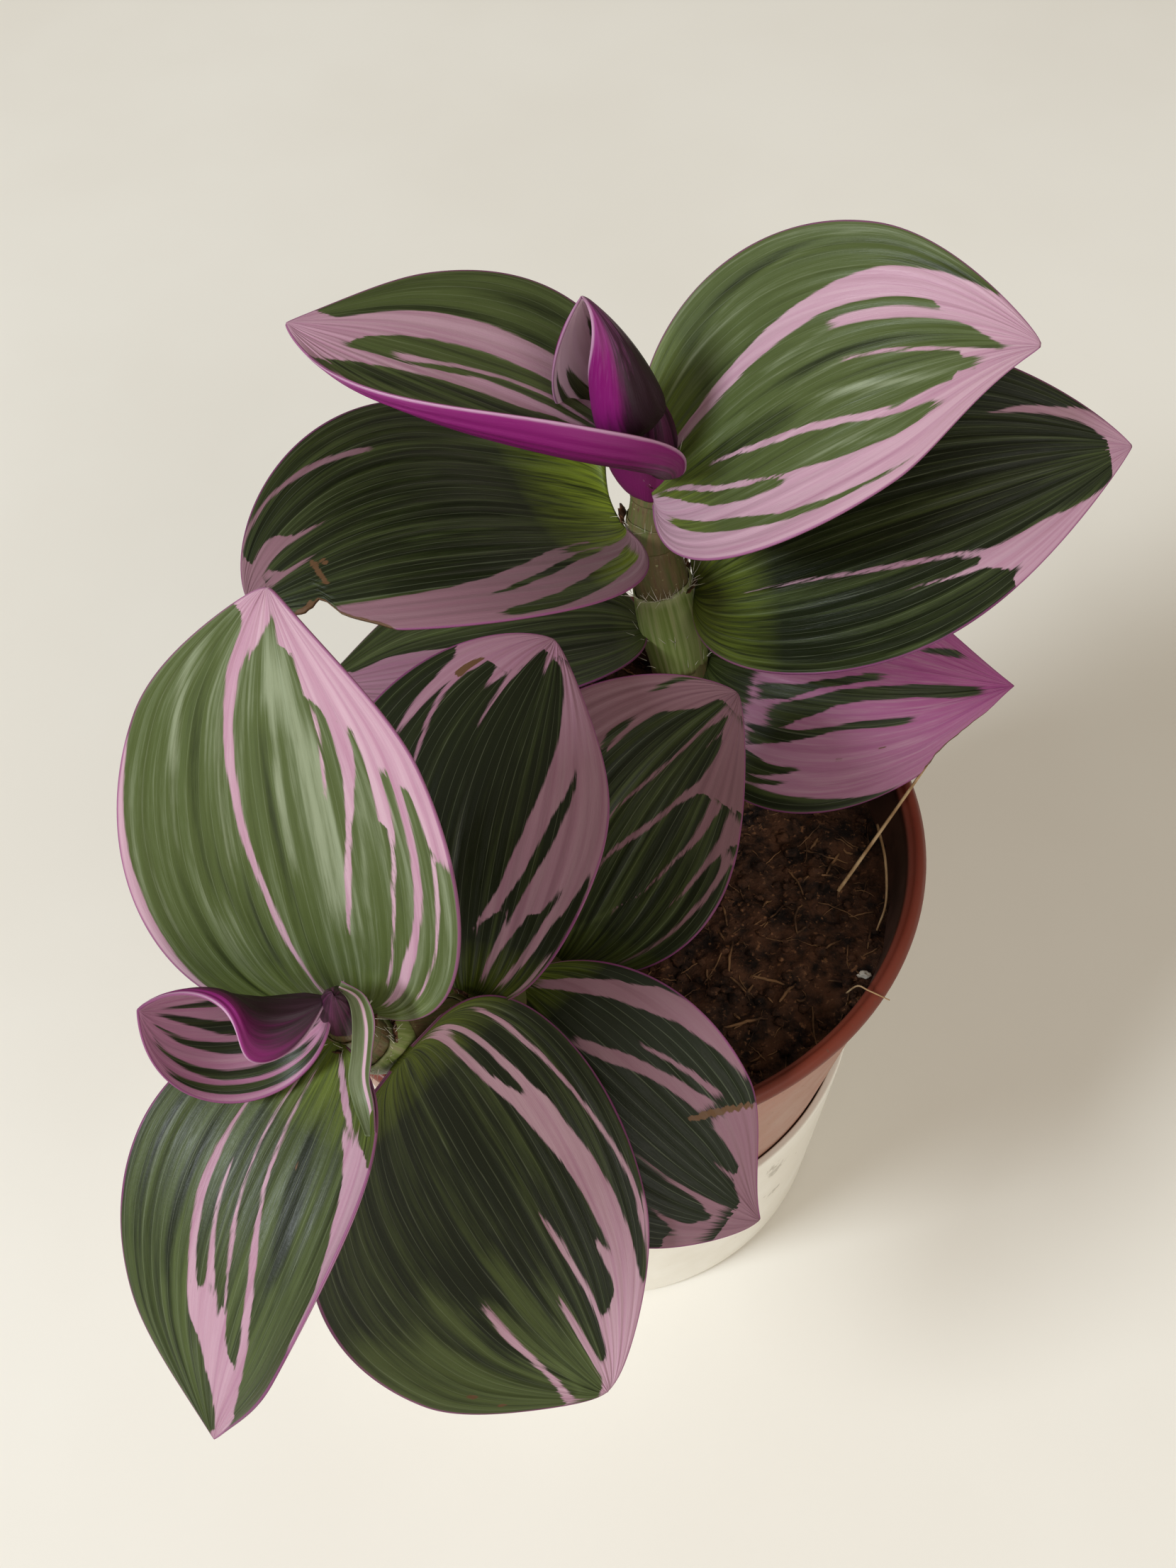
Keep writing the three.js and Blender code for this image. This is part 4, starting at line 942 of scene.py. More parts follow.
def blade_grid(name, rows, columns):
    """The u and v of every point, with the torn margins drawn in."""
    t = np.linspace(0, 1, rows)
    u = 0.5 * t + 0.5 * (0.5 - 0.5 * np.cos(math.pi * t))
    u[-1] = TIP_END
    s = np.linspace(-1, 1, columns)
    v = np.tile(np.sign(s) * (1 - (1 - np.abs(s)) ** 1.12), (rows, 1))
    torn = np.zeros(v.shape)
    if name in BITES:
        side, text = BITES[name]
        stations = stations_of(text)
        limit = np.interp(u, stations[:, 0], stations[:, 1])
        jag = np.array([noise.noise((x * 60, side * 3.1, 0)) for x in u]) * 0.03 * (limit < 0.99)
        limit = np.clip(limit + jag, 0.3, 1)
        on_side = v * side > 0
        v = np.where(on_side, v * limit[:, None], v)
        torn_edge = (np.abs(v) / limit[:, None]) ** 30 * (limit < 0.985)[:, None]
        torn = np.where(on_side, torn_edge, 0)
    return u, v, torn

print("blade grid", BIG_GRID, "of a young leaf", YOUNG_GRID, "torn", list(BITES))

# %% Relief and thickness of a blade
LEAF_THICKNESS = 0.55
RIPPLE_HEIGHT, RIPPLE_SPACINGS = 0.05, (1.9, 3.1)
WAVE_HEIGHT, GROOVE_DEPTH, GROOVE_WIDTH = 0.16, 0.32, 0.9

def sheet_normal(sheet):
    return unit(np.cross(np.gradient(sheet, axis=0), np.gradient(sheet, axis=1)) + 1e-12)

def blade_relief(u, across, along, edge, seed):
    """Ripples between the veins, long waves and the midrib's groove; nothing at margin and base."""
    narrow, broad = RIPPLE_SPACINGS
    ripple = np.sin(across * 2 * math.pi / narrow + seed) + np.sin(across * 2 * math.pi / broad + 2 * seed)
    wave = np.sin(along / 5.5 + across / 9 + seed) * np.sin(across / 4.2 + seed * 2)
    groove = np.exp(-(across / GROOVE_WIDTH) ** 2) * np.clip(1.1 - u, 0, 1)[:, None]
    inside = np.clip(edge / 2, 0, 1) * np.clip(u / 0.1, 0, 1)[:, None]
    return (RIPPLE_HEIGHT * ripple + WAVE_HEIGHT * wave - GROOVE_DEPTH * groove) * inside

print("leaves are", LEAF_THICKNESS, "mm thick in the middle")

# %% Values that the leaf finishes read
def underside_glow(name, u, v):
    """How bright the magenta of the underside is: towards the margin and the tip."""
    down = u[:, None]
    if name in YOUNG_GLOW:
        start, full = YOUNG_GLOW[name]
        toward_tip = np.clip((down - 0.05) / 0.45, 0, 1)
        return np.clip((np.abs(v) - start) / (full - start), 0, 1) * (0.25 + 0.75 * toward_tip)
    return np.clip(0.25 + 0.9 * np.abs(v) ** 1.5 + 0.5 * down, 0, 1.4) - 0.35

def leaf_values(name, u, v, torn, half, edge, across, along, seed):
    """Place, marks, wear and under, as the materials of both faces read them."""
    flat = np.ones(v.shape)
    down = u[:, None] * flat
    _, yellow, yellow_reach, dusk_and_shade, redness_and_glow = LEAF_MOOD[name]
    pink, tone, brown = marks_of(name, u, v, half, LEAVES[name]["length"])
    yellowing = yellow * np.clip(1 - down / yellow_reach, 0, 1) ** 0.7
    # negative for leaf_a3, where it gives a painted glow of pale lilac
    blush_and_glow = redness_and_glow * np.clip(0.35 + 0.8 * down - 0.35 * v, 0.1, 1)
    return {
        "place": np.stack([across, along, seed * flat], -1),
        "marks": np.stack([pink, tone, edge], -1),
        # the second number, the pink's duskiness, is partly painted shade
        "wear_and_shade": np.stack([yellowing, dusk_and_shade * flat, np.maximum(brown, torn)], -1),
        "under": np.stack([underside_glow(name, u, v), down, blush_and_glow], -1),
    }

print("values on every leaf: place, marks, wear, under")

# %% Leaf blades
def leaf_faces(name, rows, columns):
    """The blade's two faces and the values that its materials read."""
    leaf = LEAVES[name]
    u, v, torn = blade_grid(name, rows, columns)
    middle = blade_sheet(leaf, u, v)
    normal = -sheet_normal(middle)
    halves = half_widths(leaf, u)
    half = np.where(v < 0, halves[LEFT][:, None], halves[RIGHT][:, None]) + 1e-6
    edge = (1 - np.abs(v)) * half
    seed = sorted(LEAVES).index(name) + 0.5
    across = v * leaf["width"] / 2
    along = np.repeat((u * leaf["length"])[:, None], columns, 1)
    middle += normal * blade_relief(u, across, along, edge, seed)[..., None]
    thick = LEAF_THICKNESS / 2 * np.clip(0.45 + edge / 1.2, 0, 1)[..., None]
    values = leaf_values(name, u, v, torn, half, edge, across, along, seed)
    return middle + normal * thick, middle - normal * thick, values

def two_faces(upper, lower, values):
    """One list of points for both faces of a plate, and its values doubled to match."""
    points = np.concatenate([upper.reshape(-1, 3), lower.reshape(-1, 3)])
    return points, {key: np.concatenate([value.reshape(-1, 3)] * 2) for key, value in values.items()}

def plate_faces(rows, columns):
    """Quads and material numbers of a closed plate: the upper sheet, the lower sheet and the rim."""
    total = rows * columns
    index = np.arange(total).reshape(rows, columns)
    border = np.concatenate([index[0, :], index[1:, -1], index[-1, -2::-1], index[-2:0:-1, 0]])
    after = np.roll(border, -1)
    rim = np.stack([border, after, after + total, border + total], -1)
    upper = sheet_faces(rows, columns, flip=True)
    lower = sheet_faces(rows, columns, first=total)
    slots = np.concatenate([np.zeros(len(upper)), np.ones(len(lower)), np.zeros(len(rim))])
    return np.concatenate([upper, lower, rim]), slots

print("a blade has", len(plate_faces(*BIG_GRID)[0]), "faces")

# %% [markdown]
# ## Stems
# Each shoot is a round, juicy stem that thins towards its tip. A curve object with a bevel would
# give a tube too, but the sheaths and hairs have to sit exactly on it. So a smooth curve is
# drawn through a few points, rings of points are set square to it, and every later piece asks
# the same curve for its place.

# %% Stem curves
# points of each middle line, and the stem's radius at its foot and at its tip, in millimetres
STEMS = {
    "stem_a": dict(points=[(17.5, 27.5, 70), (16, 30, 87), (13.5, 33.5, 102), (11.5, 35.5, 113),
                           (12, 37, 122), (12.4, 38.2, 130), (11.9, 38.8, 137.2)], foot=4.6, tip=2.2),
    "stem_b": dict(points=[(3, -11, 70), (-4, -20, 84), (-11, -29.5, 93), (-19.5, -41.5, 105),
                           (-27, -49.5, 116), (-30, -51.6, 123), (-30, -53.2, 130),
                           (-29.6, -55.3, 136.8)], foot=4.2, tip=1.7),
}
# how far down the stem each leaf's sheath reaches, in millimetres
SLEEVES = {
    "leaf_a1": 4.4, "leaf_a2": 7.8, "leaf_a3": 8, "leaf_a4": 4.5, "leaf_a5": 15, "leaf_a6": 4,
    "leaf_a7": 3.4, "leaf_b1": 4, "leaf_b2": 8, "leaf_b3": 2.6, "leaf_b4": 4.5, "leaf_b5": 4.5,
    "leaf_b6": 4.2, "leaf_b7": 3.4,
}

def stem_of(leaf_name):
    """The stem that carries a leaf: leaf_a1 grows on stem_a."""
    return "stem_" + leaf_name[5]

print("leaves on stem_a", [name for name in LEAVES if stem_of(name) == "stem_a"])

# %% Smooth lines and tubes
STEPS_BETWEEN = 40

def smooth_line(points, steps):
    """A Catmull-Rom curve through the points, evenly walked in steps."""
    points = np.array(points, float)
    ends = np.concatenate([[2 * points[0] - points[1]], points, [2 * points[-1] - points[-2]]])
    path = []
    for i in range(len(points) - 1):
        before, here, there, beyond = ends[i:i + 4]
        t = np.linspace(0, 1, STEPS_BETWEEN, endpoint=i == len(points) - 2)[:, None]
        square = (2 * before - 5 * here + 4 * there - beyond) * t ** 2
        cube = (3 * here - before - 3 * there + beyond) * t ** 3
        path.append(0.5 * (2 * here + (there - before) * t + square + cube))
    path = np.concatenate(path)
    walked = np.concatenate([[0], np.cumsum(np.linalg.norm(np.diff(path, axis=0), axis=1))])
    return np.stack([np.interp(np.linspace(0, walked[-1], steps), walked, path[:, k]) for k in range(3)], -1)

def tube_rings(path, radii, sides, reference=(1, 0, 0)):
    """Rings of points square to a path; radii holds one number for each ring or for each point."""
    path = np.asarray(path, float)
    run = unit(np.gradient(path, axis=0))
    reference = np.array(reference, float)
    first = unit(reference - (run @ reference)[:, None] * run)
    second = np.cross(run, first)
    angle = np.linspace(0, 2 * math.pi, sides, endpoint=False)
    radii = np.asarray(radii, float)
    radii = radii[:, None] if radii.ndim == 1 else radii
    ring = first[:, None] * np.cos(angle)[None, :, None] + second[:, None] * np.sin(angle)[None, :, None]
    return path[:, None] + ring * radii[..., None] * np.ones((1, sides, 1))

def closed_tube(rings):
    """Points and quads of rings closed at both ends with a middle point."""
    rows, sides = rings.shape[:2]
    points = np.concatenate([rings.reshape(-1, 3), [rings[0].mean(0)], [rings[-1].mean(0)]])
    side = np.arange(sides)
    after = (side + 1) % sides
    start = np.stack([np.full(sides, rows * sides), after, side, side], -1)
    last = (rows - 1) * sides
    end = np.stack([np.full(sides, rows * sides + 1), last + side, last + after, last + after], -1)
    return points, np.concatenate([sheet_faces(rows, sides, closed=True), start, end])

def stem_radius(stem, t):
    return stem["foot"] + (stem["tip"] - stem["foot"]) * t ** 3

print("stem feet", [stem["foot"] * 2 for stem in STEMS.values()], "mm thick")

# %% [markdown]
# ## Leaf sheaths
# A tradescantia leaf has no stalk: its base closes into a short tube round the stem. It could be
# a piece of its own, but it grows from the blade, so it is made in the leaf's mesh, with a mouth
# that is cut slightly aslant and flares where the blade leaves it. There are four kinds. Most
# sheaths are old and worn to a thin skin like the stem's. Two are still clear green, with faint
# purple veins and a brown line at the joint below. The rolled young leaves have fleshy purple
# cones, and one sheath opens into a magenta funnel. The kind is stored in `marks`, so one
# material serves them all.

# %% Sheath colours and kinds
WORN, CLEAR, YOUNG, FUNNELLED = -1, 0, 1, 2
CLEAR_SHEATHS = ("leaf_a5", "leaf_b4")
FUNNEL = {"leaf_a2": 4.6}
CLEAR_GREEN, CLEAR_PALE = colour(100, 116, 52), colour(138, 148, 92)
VEIN_PURPLE = colour(128, 92, 96)
LIP_PALE = colour(160, 160, 120)
JOINT_BROWN = colour(84, 62, 40)
YOUNG_PURPLE, FUNNEL_MAGENTA = colour(84, 30, 66), colour(112, 24, 86)
SKIN_GREEN, SKIN_BROWN = colour(84, 88, 48), colour(106, 88, 60)

def sheath_kind(name):
    if name in FUNNEL:
        return FUNNELLED
    if name in YOUNG_GLOW:
        return YOUNG
    return CLEAR if name in CLEAR_SHEATHS else WORN

print("sheath kinds", [sheath_kind(name) for name in LEAVES])

# %% Sheath finish
def sheath_material():
    material, tree, shader = new_material("leaf_sheath", specular=0.4)
    place = value_of(tree, "place")
    kind, height, _ = split(tree, value_of(tree, "marks"))
    streak = vein_streaks(tree, place, 1.3, 0.12)
    fine = vein_streaks(tree, place, 5.0, 0.5, 2)
    shade = blend_colours(tree, ease(tree, streak, 0.35, 0.65), CLEAR_GREEN, CLEAR_PALE)
    blushed = ease(tree, plus(tree, streak, times(tree, fine, 0.4)), 0.72, 0.95, 0.0, 0.45)
    shade = blend_colours(tree, blushed, shade, VEIN_PURPLE)
    lip = ease(tree, plus(tree, height, times(tree, fine, 0.12)), 0.93, 1.03, 0.0, 0.35)
    shade = blend_colours(tree, lip, shade, LIP_PALE)
    joint = ease(tree, plus(tree, height, swing(tree, streak, 0.2)), 0.1, 0.0, 0.0, 0.75)
    shade = blend_colours(tree, joint, shade, JOINT_BROWN)
    purple = blend_colours(tree, ease(tree, streak, 0.35, 0.7), DARK_PURPLE, YOUNG_PURPLE)
    purple = blend_colours(tree, ease(tree, kind, YOUNG, FUNNELLED), purple, FUNNEL_MAGENTA)
    shade = blend_colours(tree, ease(tree, kind, CLEAR, YOUNG), shade, purple)
    skin = blend_colours(tree, ease(tree, streak, 0.35, 0.65), SKIN_GREEN, SKIN_BROWN)
    shade = blend_colours(tree, ease(tree, kind, CLEAR, WORN), shade, skin)
    tree.links.new(shade, shader.inputs["Base Color"])
    add_bump(tree, shader, plus(tree, streak, fine), 0.1, 0.6)
    return material

SHEATH = sheath_material()
print(SHEATH.name, "nodes", len(SHEATH.node_tree.nodes))

# %% Sheath mesh
SHEATH_ROWS, SHEATH_SIDES = 22, 44
SHEATH_OVER_BASE, SHEATH_GAP = 0.8, 0.08
SHEATH_WALL, WORN_WALL = 0.8, 0.12
YOUNG_SHEATH_RISE = 3.0
STEM_WALK = 400

def stem_part(stem, low, high, steps):
    """The stretch of a stem's middle line between two heights, and its radii."""
    path = smooth_line(stem["points"], STEM_WALK)
    t = np.linspace(0, 1, STEM_WALK)
    chosen = np.interp(np.linspace(low, high, steps), path[:, 2], t)
    return np.stack([np.interp(chosen, t, path[:, k]) for k in range(3)], -1), stem_radius(stem, chosen)

def sheath_rings(name, share, angle):
    """Rings up the outside of the wall and rings up its inside."""
    leaf = LEAVES[name]
    kind = sheath_kind(name)
    top = leaf["base"][2] + SHEATH_OVER_BASE
    path, radius = stem_part(STEMS[stem_of(name)], top - SLEEVES[name], top, SHEATH_ROWS)
    lean = np.cos(angle - math.radians(leaf["azimuth"]))
    fleshy = SHEATH_WALL * (0.12 + 0.6 * np.sin(math.pi * share * 0.9))
    wall = (WORN_WALL if kind == WORN else fleshy) * np.ones((SHEATH_ROWS, SHEATH_SIDES))
    swell = (0.12 * np.sin(math.pi * share) + 0.05 * np.sin(angle * 9)) * (kind != WORN)
    flare = FUNNEL.get(name, 0.05) * share ** 0.6 * np.clip(lean, 0, 1)
    if kind == YOUNG:
        path = path + unit(path[-1] - path[0]) * share * YOUNG_SHEATH_RISE
        closing = (1 - share) ** 0.5
        radius = radius * closing[:, 0]
        wall = wall * closing + 0.03
    mouth = radius[:, None] + SHEATH_GAP + flare
    aslant = np.zeros((SHEATH_ROWS, SHEATH_SIDES, 3))
    aslant[..., 2] = (0.5 * (lean - 1) + 0.15 * np.sin(angle * 5)) * share ** 2
    outside = tube_rings(path, mouth + wall + swell, SHEATH_SIDES) + aslant
    return outside, tube_rings(path, mouth, SHEATH_SIDES) + aslant

def sheath_mesh(name, first):
    """The closed wall round the stem: up the outside, over the mouth and down the inside."""
    share = np.linspace(0, 1, SHEATH_ROWS)[:, None]
    angle = np.linspace(0, 2 * math.pi, SHEATH_SIDES, endpoint=False)
    outside, inside = sheath_rings(name, share, angle)
    points = np.concatenate([outside, inside[::-1]]).reshape(-1, 3)
    last = (2 * SHEATH_ROWS - 1) * SHEATH_SIDES
    side = np.arange(SHEATH_SIDES)
    after = (side + 1) % SHEATH_SIDES
    foot = np.stack([last + side, last + after, after, side], -1)
    quads = np.concatenate([sheet_faces(2 * SHEATH_ROWS, SHEATH_SIDES, closed=True), foot]) + first
    height = np.repeat(np.concatenate([share, share[::-1]]), SHEATH_SIDES, 1)
    flat = np.ones(height.shape)
    place = np.stack([angle * 4 * flat, height * 4, LEAVES[name]["length"] * flat], -1).reshape(-1, 3)
    marks = np.stack([sheath_kind(name) * flat, height, 9 * flat], -1).reshape(-1, 3)
    return points, quads, place, marks

print("a sheath has", 2 * SHEATH_ROWS, "rings of", SHEATH_SIDES, "points")

# %% [markdown]
# ## Put the leaves together
# On the real plant a leaf and its sheath are one growth. Two objects would do for a picture, but
# the shared library wants one piece for each leaf, so the blade and the sheath are joined in one
# mesh with three materials: upper face, underside and sheath.

# %% Make the leaves
def make_leaf(name):
    upper, lower, values = leaf_faces(name, *(YOUNG_GRID if name in YOUNG_GLOW else BIG_GRID))
    points, values = two_faces(upper, lower, values)
    quads, slots = plate_faces(*upper.shape[:2])
    wrap, wrap_quads, place, marks = sheath_mesh(name, len(points))
    blank = np.zeros(place.shape)
    wrap_values = {"place": place, "marks": marks, "wear_and_shade": blank, "under": blank}
    values = {key: np.concatenate([values[key], wrap_values[key]]) for key in values}
    slots = np.concatenate([slots, np.full(len(wrap_quads), 2)])
    piece = new_piece(name + "_blade", np.concatenate([points, wrap]), np.concatenate([quads, wrap_quads]),
                      [LEAF_UPPER, LEAF_UNDER, SHEATH], slots, values)
    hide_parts(name)

for leaf_name in LEAVES:
    make_leaf(leaf_name)

# %% [markdown]
# ## The ear of the lowest front leaf
# At the base of leaf_b3 the blade's margin folds over and stands up in front of the stem like a
# small ear. It could be bent out of the blade itself, but one formula for all leaves can't make
# this fold. So it is a narrow plate of its own between two curved lines, the outer margin and
# the line where it meets the blade, in the leaf's own materials.

# %% Make the ear
EAR_MARGIN = [(-28.9, -54, 138.2), (-26.4, -54.9, 137), (-25.5, -56.6, 134), (-26.1, -59.2, 130.5),
              (-26.5, -61.1, 128.5), (-26.1, -63.7, 127.2), (-26, -67, 126.6)]
EAR_INNER = [(-29, -55.1, 137.9), (-28.2, -55.7, 136.8), (-28.1, -56.7, 134.2), (-28.7, -58.7, 130),
             (-29.2, -60.6, 127.6), (-28.7, -63.1, 125.9), (-27.3, -67, 126.1)]
EAR_ROWS, EAR_COLUMNS = 90, 18
EAR_WIDTH, EAR_LENGTH, EAR_SEED = 3, 15, 9.5

def ear_values(share, flat):
    """A pink line inside the margin on pale green, as on the blade beside it."""
    along = np.linspace(EAR_LENGTH, 0, EAR_ROWS)[:, None] * flat
    edge = (1 - share[..., 0]) * EAR_WIDTH * flat
    return {
        "place": np.stack([share[..., 0] * EAR_WIDTH * flat - 16, along, EAR_SEED * flat], -1),
        "marks": np.stack([0.4 - np.abs(edge - 1.3) * 2, 0.9 * flat, edge], -1),
        "wear_and_shade": np.zeros((EAR_ROWS, EAR_COLUMNS, 3)),
        "under": np.stack([0.6 * flat, 0 * flat, 0 * flat], -1),
    }

def make_ear():
    margin = smooth_line(EAR_MARGIN, EAR_ROWS)
    inner = smooth_line(EAR_INNER, EAR_ROWS)
    share = np.linspace(0, 1, EAR_COLUMNS)[None, :, None]
    middle = inner[:, None] * (1 - share) + margin[:, None] * share
    normal = sheet_normal(middle)
    middle = middle - normal * (0.6 * np.sin(math.pi * share) - 0.5 * share ** 6)
    thick = 0.22 * np.clip(1.3 - share, 0.4, 1)
    quads, slots = plate_faces(EAR_ROWS, EAR_COLUMNS)
    values = ear_values(share, np.ones((EAR_ROWS, EAR_COLUMNS)))
    points, values = two_faces(middle + normal * thick, middle - normal * thick, values)
    piece = new_piece("leaf_b3_ear", points, quads[:, ::-1], [LEAF_UPPER, LEAF_UNDER], slots, values)

make_ear()

# %% [markdown]
# ## Hairs at the sheath mouths
# The mouths of the sheaths carry a fringe of soft white hairs: dense on the two clear sheaths,
# sparse on the worn ones, and none on the rolled young leaves. A particle system could grow
# them, but its hairs would be lost in the export. So each hair is a thin tapering tube of real
# mesh, placed and bent with fixed random numbers.

# %% Hair finish and helpers
def two_tone_material(name, scale, detail, dark, light, roughness, specular):
    """A finish that changes softly between two close shades."""
    material, tree, shader = new_material(name, roughness, specular)
    place = object_place(tree)
    patches = ease(tree, cloudy(tree, place, scale, detail), 0.35, 0.65)
    tree.links.new(blend_colours(tree, patches, dark, light), shader.inputs["Base Color"])
    return material, tree, shader, place

def hair_material():
    dark, light = colour(206, 200, 178), colour(226, 220, 208)
    return two_tone_material("leaf_hair", 400, 2, dark, light, 0.45, 0.4)[0]

def gather(parts):
    """One list of points and one of quads from many (points, quads) parts."""
    points, quads, first = [], [], 0
    for part_points, part_quads in parts:
        points.append(part_points)
        quads.append(part_quads + first)
        first += len(part_points)
    return np.concatenate(points), np.concatenate(quads)

def sheath_mouth(name, angle, extra):
    """A point on the rim of a leaf's sheath, the direction away from the stem and the stem's run."""
    base_height = LEAVES[name]["base"][2]
    path, radius = stem_part(STEMS[stem_of(name)], base_height - 0.2, base_height + 0.6, 2)
    run = unit(path[1] - path[0])
    first = unit(np.array([1, 0, 0]) - run[0] * run)
    away = first * math.cos(angle) + np.cross(run, first) * math.sin(angle)
    return path[1] + away * (radius[1] + extra), away, run

print("clear sheaths with dense hairs", CLEAR_SHEATHS)

# %% Make the hairs
HAIR_SEED, DENSE_HAIRS, SPARSE_HAIRS = 5, 90, 16
HAIR_RADIUS, HAIR_POINTS, HAIR_SIDES = 0.045, 6, 5
HAIR_ROOT = 0.75
LONG_HAIRS = {"leaf_a5": 1.25}

def one_hair(rng, name):
    """The path of one hair, bent a little as it leaves the mouth of the sheath."""
    root, away, run = sheath_mouth(name, rng.random() * 2 * math.pi, HAIR_ROOT)
    rise = 0.5 + 0.6 * rng.random()
    spread = 0.25 + 0.8 * rng.random()
    heading = unit(run * rise + away * spread + rng.normal(size=3) * 0.3)
    length = (1.3 + 1.5 * rng.random()) * LONG_HAIRS.get(name, 1)
    step = np.linspace(0, 1, HAIR_POINTS)[:, None]
    return root + heading * step * length + run * (step ** 2) * length * 0.25 * rng.normal()

def make_hairs():
    rng = np.random.default_rng(HAIR_SEED)
    taper = HAIR_RADIUS * (1.15 - np.linspace(0, 1, HAIR_POINTS))
    parts = []
    for name in LEAVES:
        if name in YOUNG_GLOW:
            continue
        for _ in range(DENSE_HAIRS if name in CLEAR_SHEATHS else SPARSE_HAIRS):
            parts.append(closed_tube(tube_rings(one_hair(rng, name), taper, HAIR_SIDES, (0.3, 0.9, 0.2))))
    piece = new_piece("sheath_hairs", *gather(parts), [hair_material()])
    print("hairs", len(parts))

make_hairs()

# %% [markdown]
# ## Dry flakes at the joints
# Where old sheath edges have dried, they cling to the joint as dark, ragged flakes. A picture
# with cut-out edges on a flat card is the usual trick, but it has no thickness and looks flat
# close up. So each flake is a small crumpled plate whose ragged top is drawn with fixed random
# numbers.

# %% Make the flakes
# how many flakes cling to each joint; the order is kept, as it sets the random numbers
FLAKE_JOINTS = {"leaf_a1": 7, "leaf_a2": 8, "leaf_a4": 6, "leaf_b4": 7, "leaf_b3": 4, "leaf_b5": 4,
                "leaf_a5": 4}
FLAKE_SEED, FLAKE_ROWS, FLAKE_COLUMNS = 31, 9, 8
FLAKE_HALF_THICKNESS, FLAKE_CRUMPLE = 0.07, 0.12
FLAKE_ROOT, FLAKE_SUNK = 0.55, 0.9

def flake_material():
    dark, light = colour(44, 26, 18), colour(98, 66, 42)
    material, tree, shader, place = two_tone_material("dry_sheath", 900, 3, dark, light, 0.75, 0.25)
    add_bump(tree, shader, cloudy(tree, place, 2200, 2), 0.06, 0.6)
    return material

def one_flake(rng, name):
    """The two faces of one flake, which stands on the joint and bends away at its ragged top."""
    start = rng.random() * 2 * math.pi
    wide = 0.35 + 0.5 * rng.random()
    tall = 0.8 + 1.6 * rng.random()
    sheet = np.zeros((FLAKE_ROWS, FLAKE_COLUMNS, 3))
    away = np.zeros(sheet.shape)
    ragged = rng.random(FLAKE_COLUMNS) * 0.6 + 0.4
    for j in range(FLAKE_COLUMNS):
        angle = start + wide * (j / (FLAKE_COLUMNS - 1) - 0.5)
        root, outward, run = sheath_mouth(name, angle, FLAKE_ROOT)
        away[:, j] = outward
        for i in range(FLAKE_ROWS):
            t = i / (FLAKE_ROWS - 1)
            bend = 0.5 * t ** 2 * (1 + ragged[j])
            sheet[i, j] = root + run * (t * tall * ragged[j] - FLAKE_SUNK) + outward * bend
            sheet[i, j] += FLAKE_CRUMPLE * np.array(noise.noise_vector(Vector(sheet[i, j]) * 1.4))
    lift = away * FLAKE_HALF_THICKNESS
    return two_faces(sheet + lift, sheet - lift, {})[0]

def make_flakes():
    rng = np.random.default_rng(FLAKE_SEED)
    # noise_vector starts from the clock unless it gets a seed, and then crumples otherwise each run
    noise.seed_set(FLAKE_SEED)
    quads = plate_faces(FLAKE_ROWS, FLAKE_COLUMNS)[0]
    parts = []
    for name, number in FLAKE_JOINTS.items():
        for _ in range(number):
            parts.append((one_flake(rng, name), quads))
    piece = new_piece("dry_flakes", *gather(parts), [flake_material()])
    print("flakes", len(parts))

make_flakes()

# %% [markdown]
# ## Stem pieces
# The stem's skin is green with a brownish blush and pale flecks. At every joint old sheaths have
# dried to a brown collar. The collar could be a ring of its own, but its edge would be too
# sharp, so the mesh stores how near each point is to a joint, and the material browns there.
# The stem swells a very little at the joints that stand above the soil.

# %% Stem finish
STEM_BLOTCH, STEM_FLECK, COLLAR_BROWN = colour(92, 66, 50), colour(150, 150, 108), colour(84, 54, 38)

def stem_material():
    material, tree, shader = new_material("stem_skin", specular=0.45)
    place = value_of(tree, "place")
    joint = split(tree, value_of(tree, "marks"))[0]
    streak = vein_streaks(tree, place, 0.9, 0.08)
    fine = vein_streaks(tree, place, 3.5, 0.4, 2)
    flecks = ease(tree, cloudy(tree, place, 1.6, 2), 0.66, 0.76)
    shade = blend_colours(tree, ease(tree, streak, 0.35, 0.65), SKIN_GREEN, SKIN_BROWN)
    shade = blend_colours(tree, ease(tree, fine, 0.52, 0.66, 0.0, 0.5), shade, STEM_BLOTCH)
    shade = blend_colours(tree, flecks, shade, STEM_FLECK)
    collar = ease(tree, plus(tree, joint, swing(tree, fine, 2.4)), 0.9, 1.5, 0.0, 0.8)
    shade = blend_colours(tree, collar, shade, COLLAR_BROWN)
    tree.links.new(shade, shader.inputs["Base Color"])
    tree.links.new(ease(tree, fine, 0.3, 0.7, 0.38, 0.6), shader.inputs["Roughness"])
    add_bump(tree, shader, plus(tree, streak, fine), 0.15, 0.6)
    return material

STEM_SKIN = stem_material()
print(STEM_SKIN.name, "nodes", len(STEM_SKIN.node_tree.nodes))

# %% Make the stems
STEM_ROWS, STEM_SIDES, STEM_POINT = 200, 56, 0.06
GROOVE_COUNT, STEM_RELIEF = 14, 0.05
SOIL_COVERS_TO = 80

def joint_nearness(name, path):
    """1 on a joint of the stem and nought away from it, for each point of its middle line."""
    nearness = np.zeros(len(path))
    for leaf in LEAVES:
        if stem_of(leaf) == name:
            height = LEAVES[leaf]["base"][2] - SLEEVES[leaf]
            nearness = np.maximum(nearness, np.exp(-((path[:, 2] - height + 0.1) / 0.6) ** 2))
    return nearness

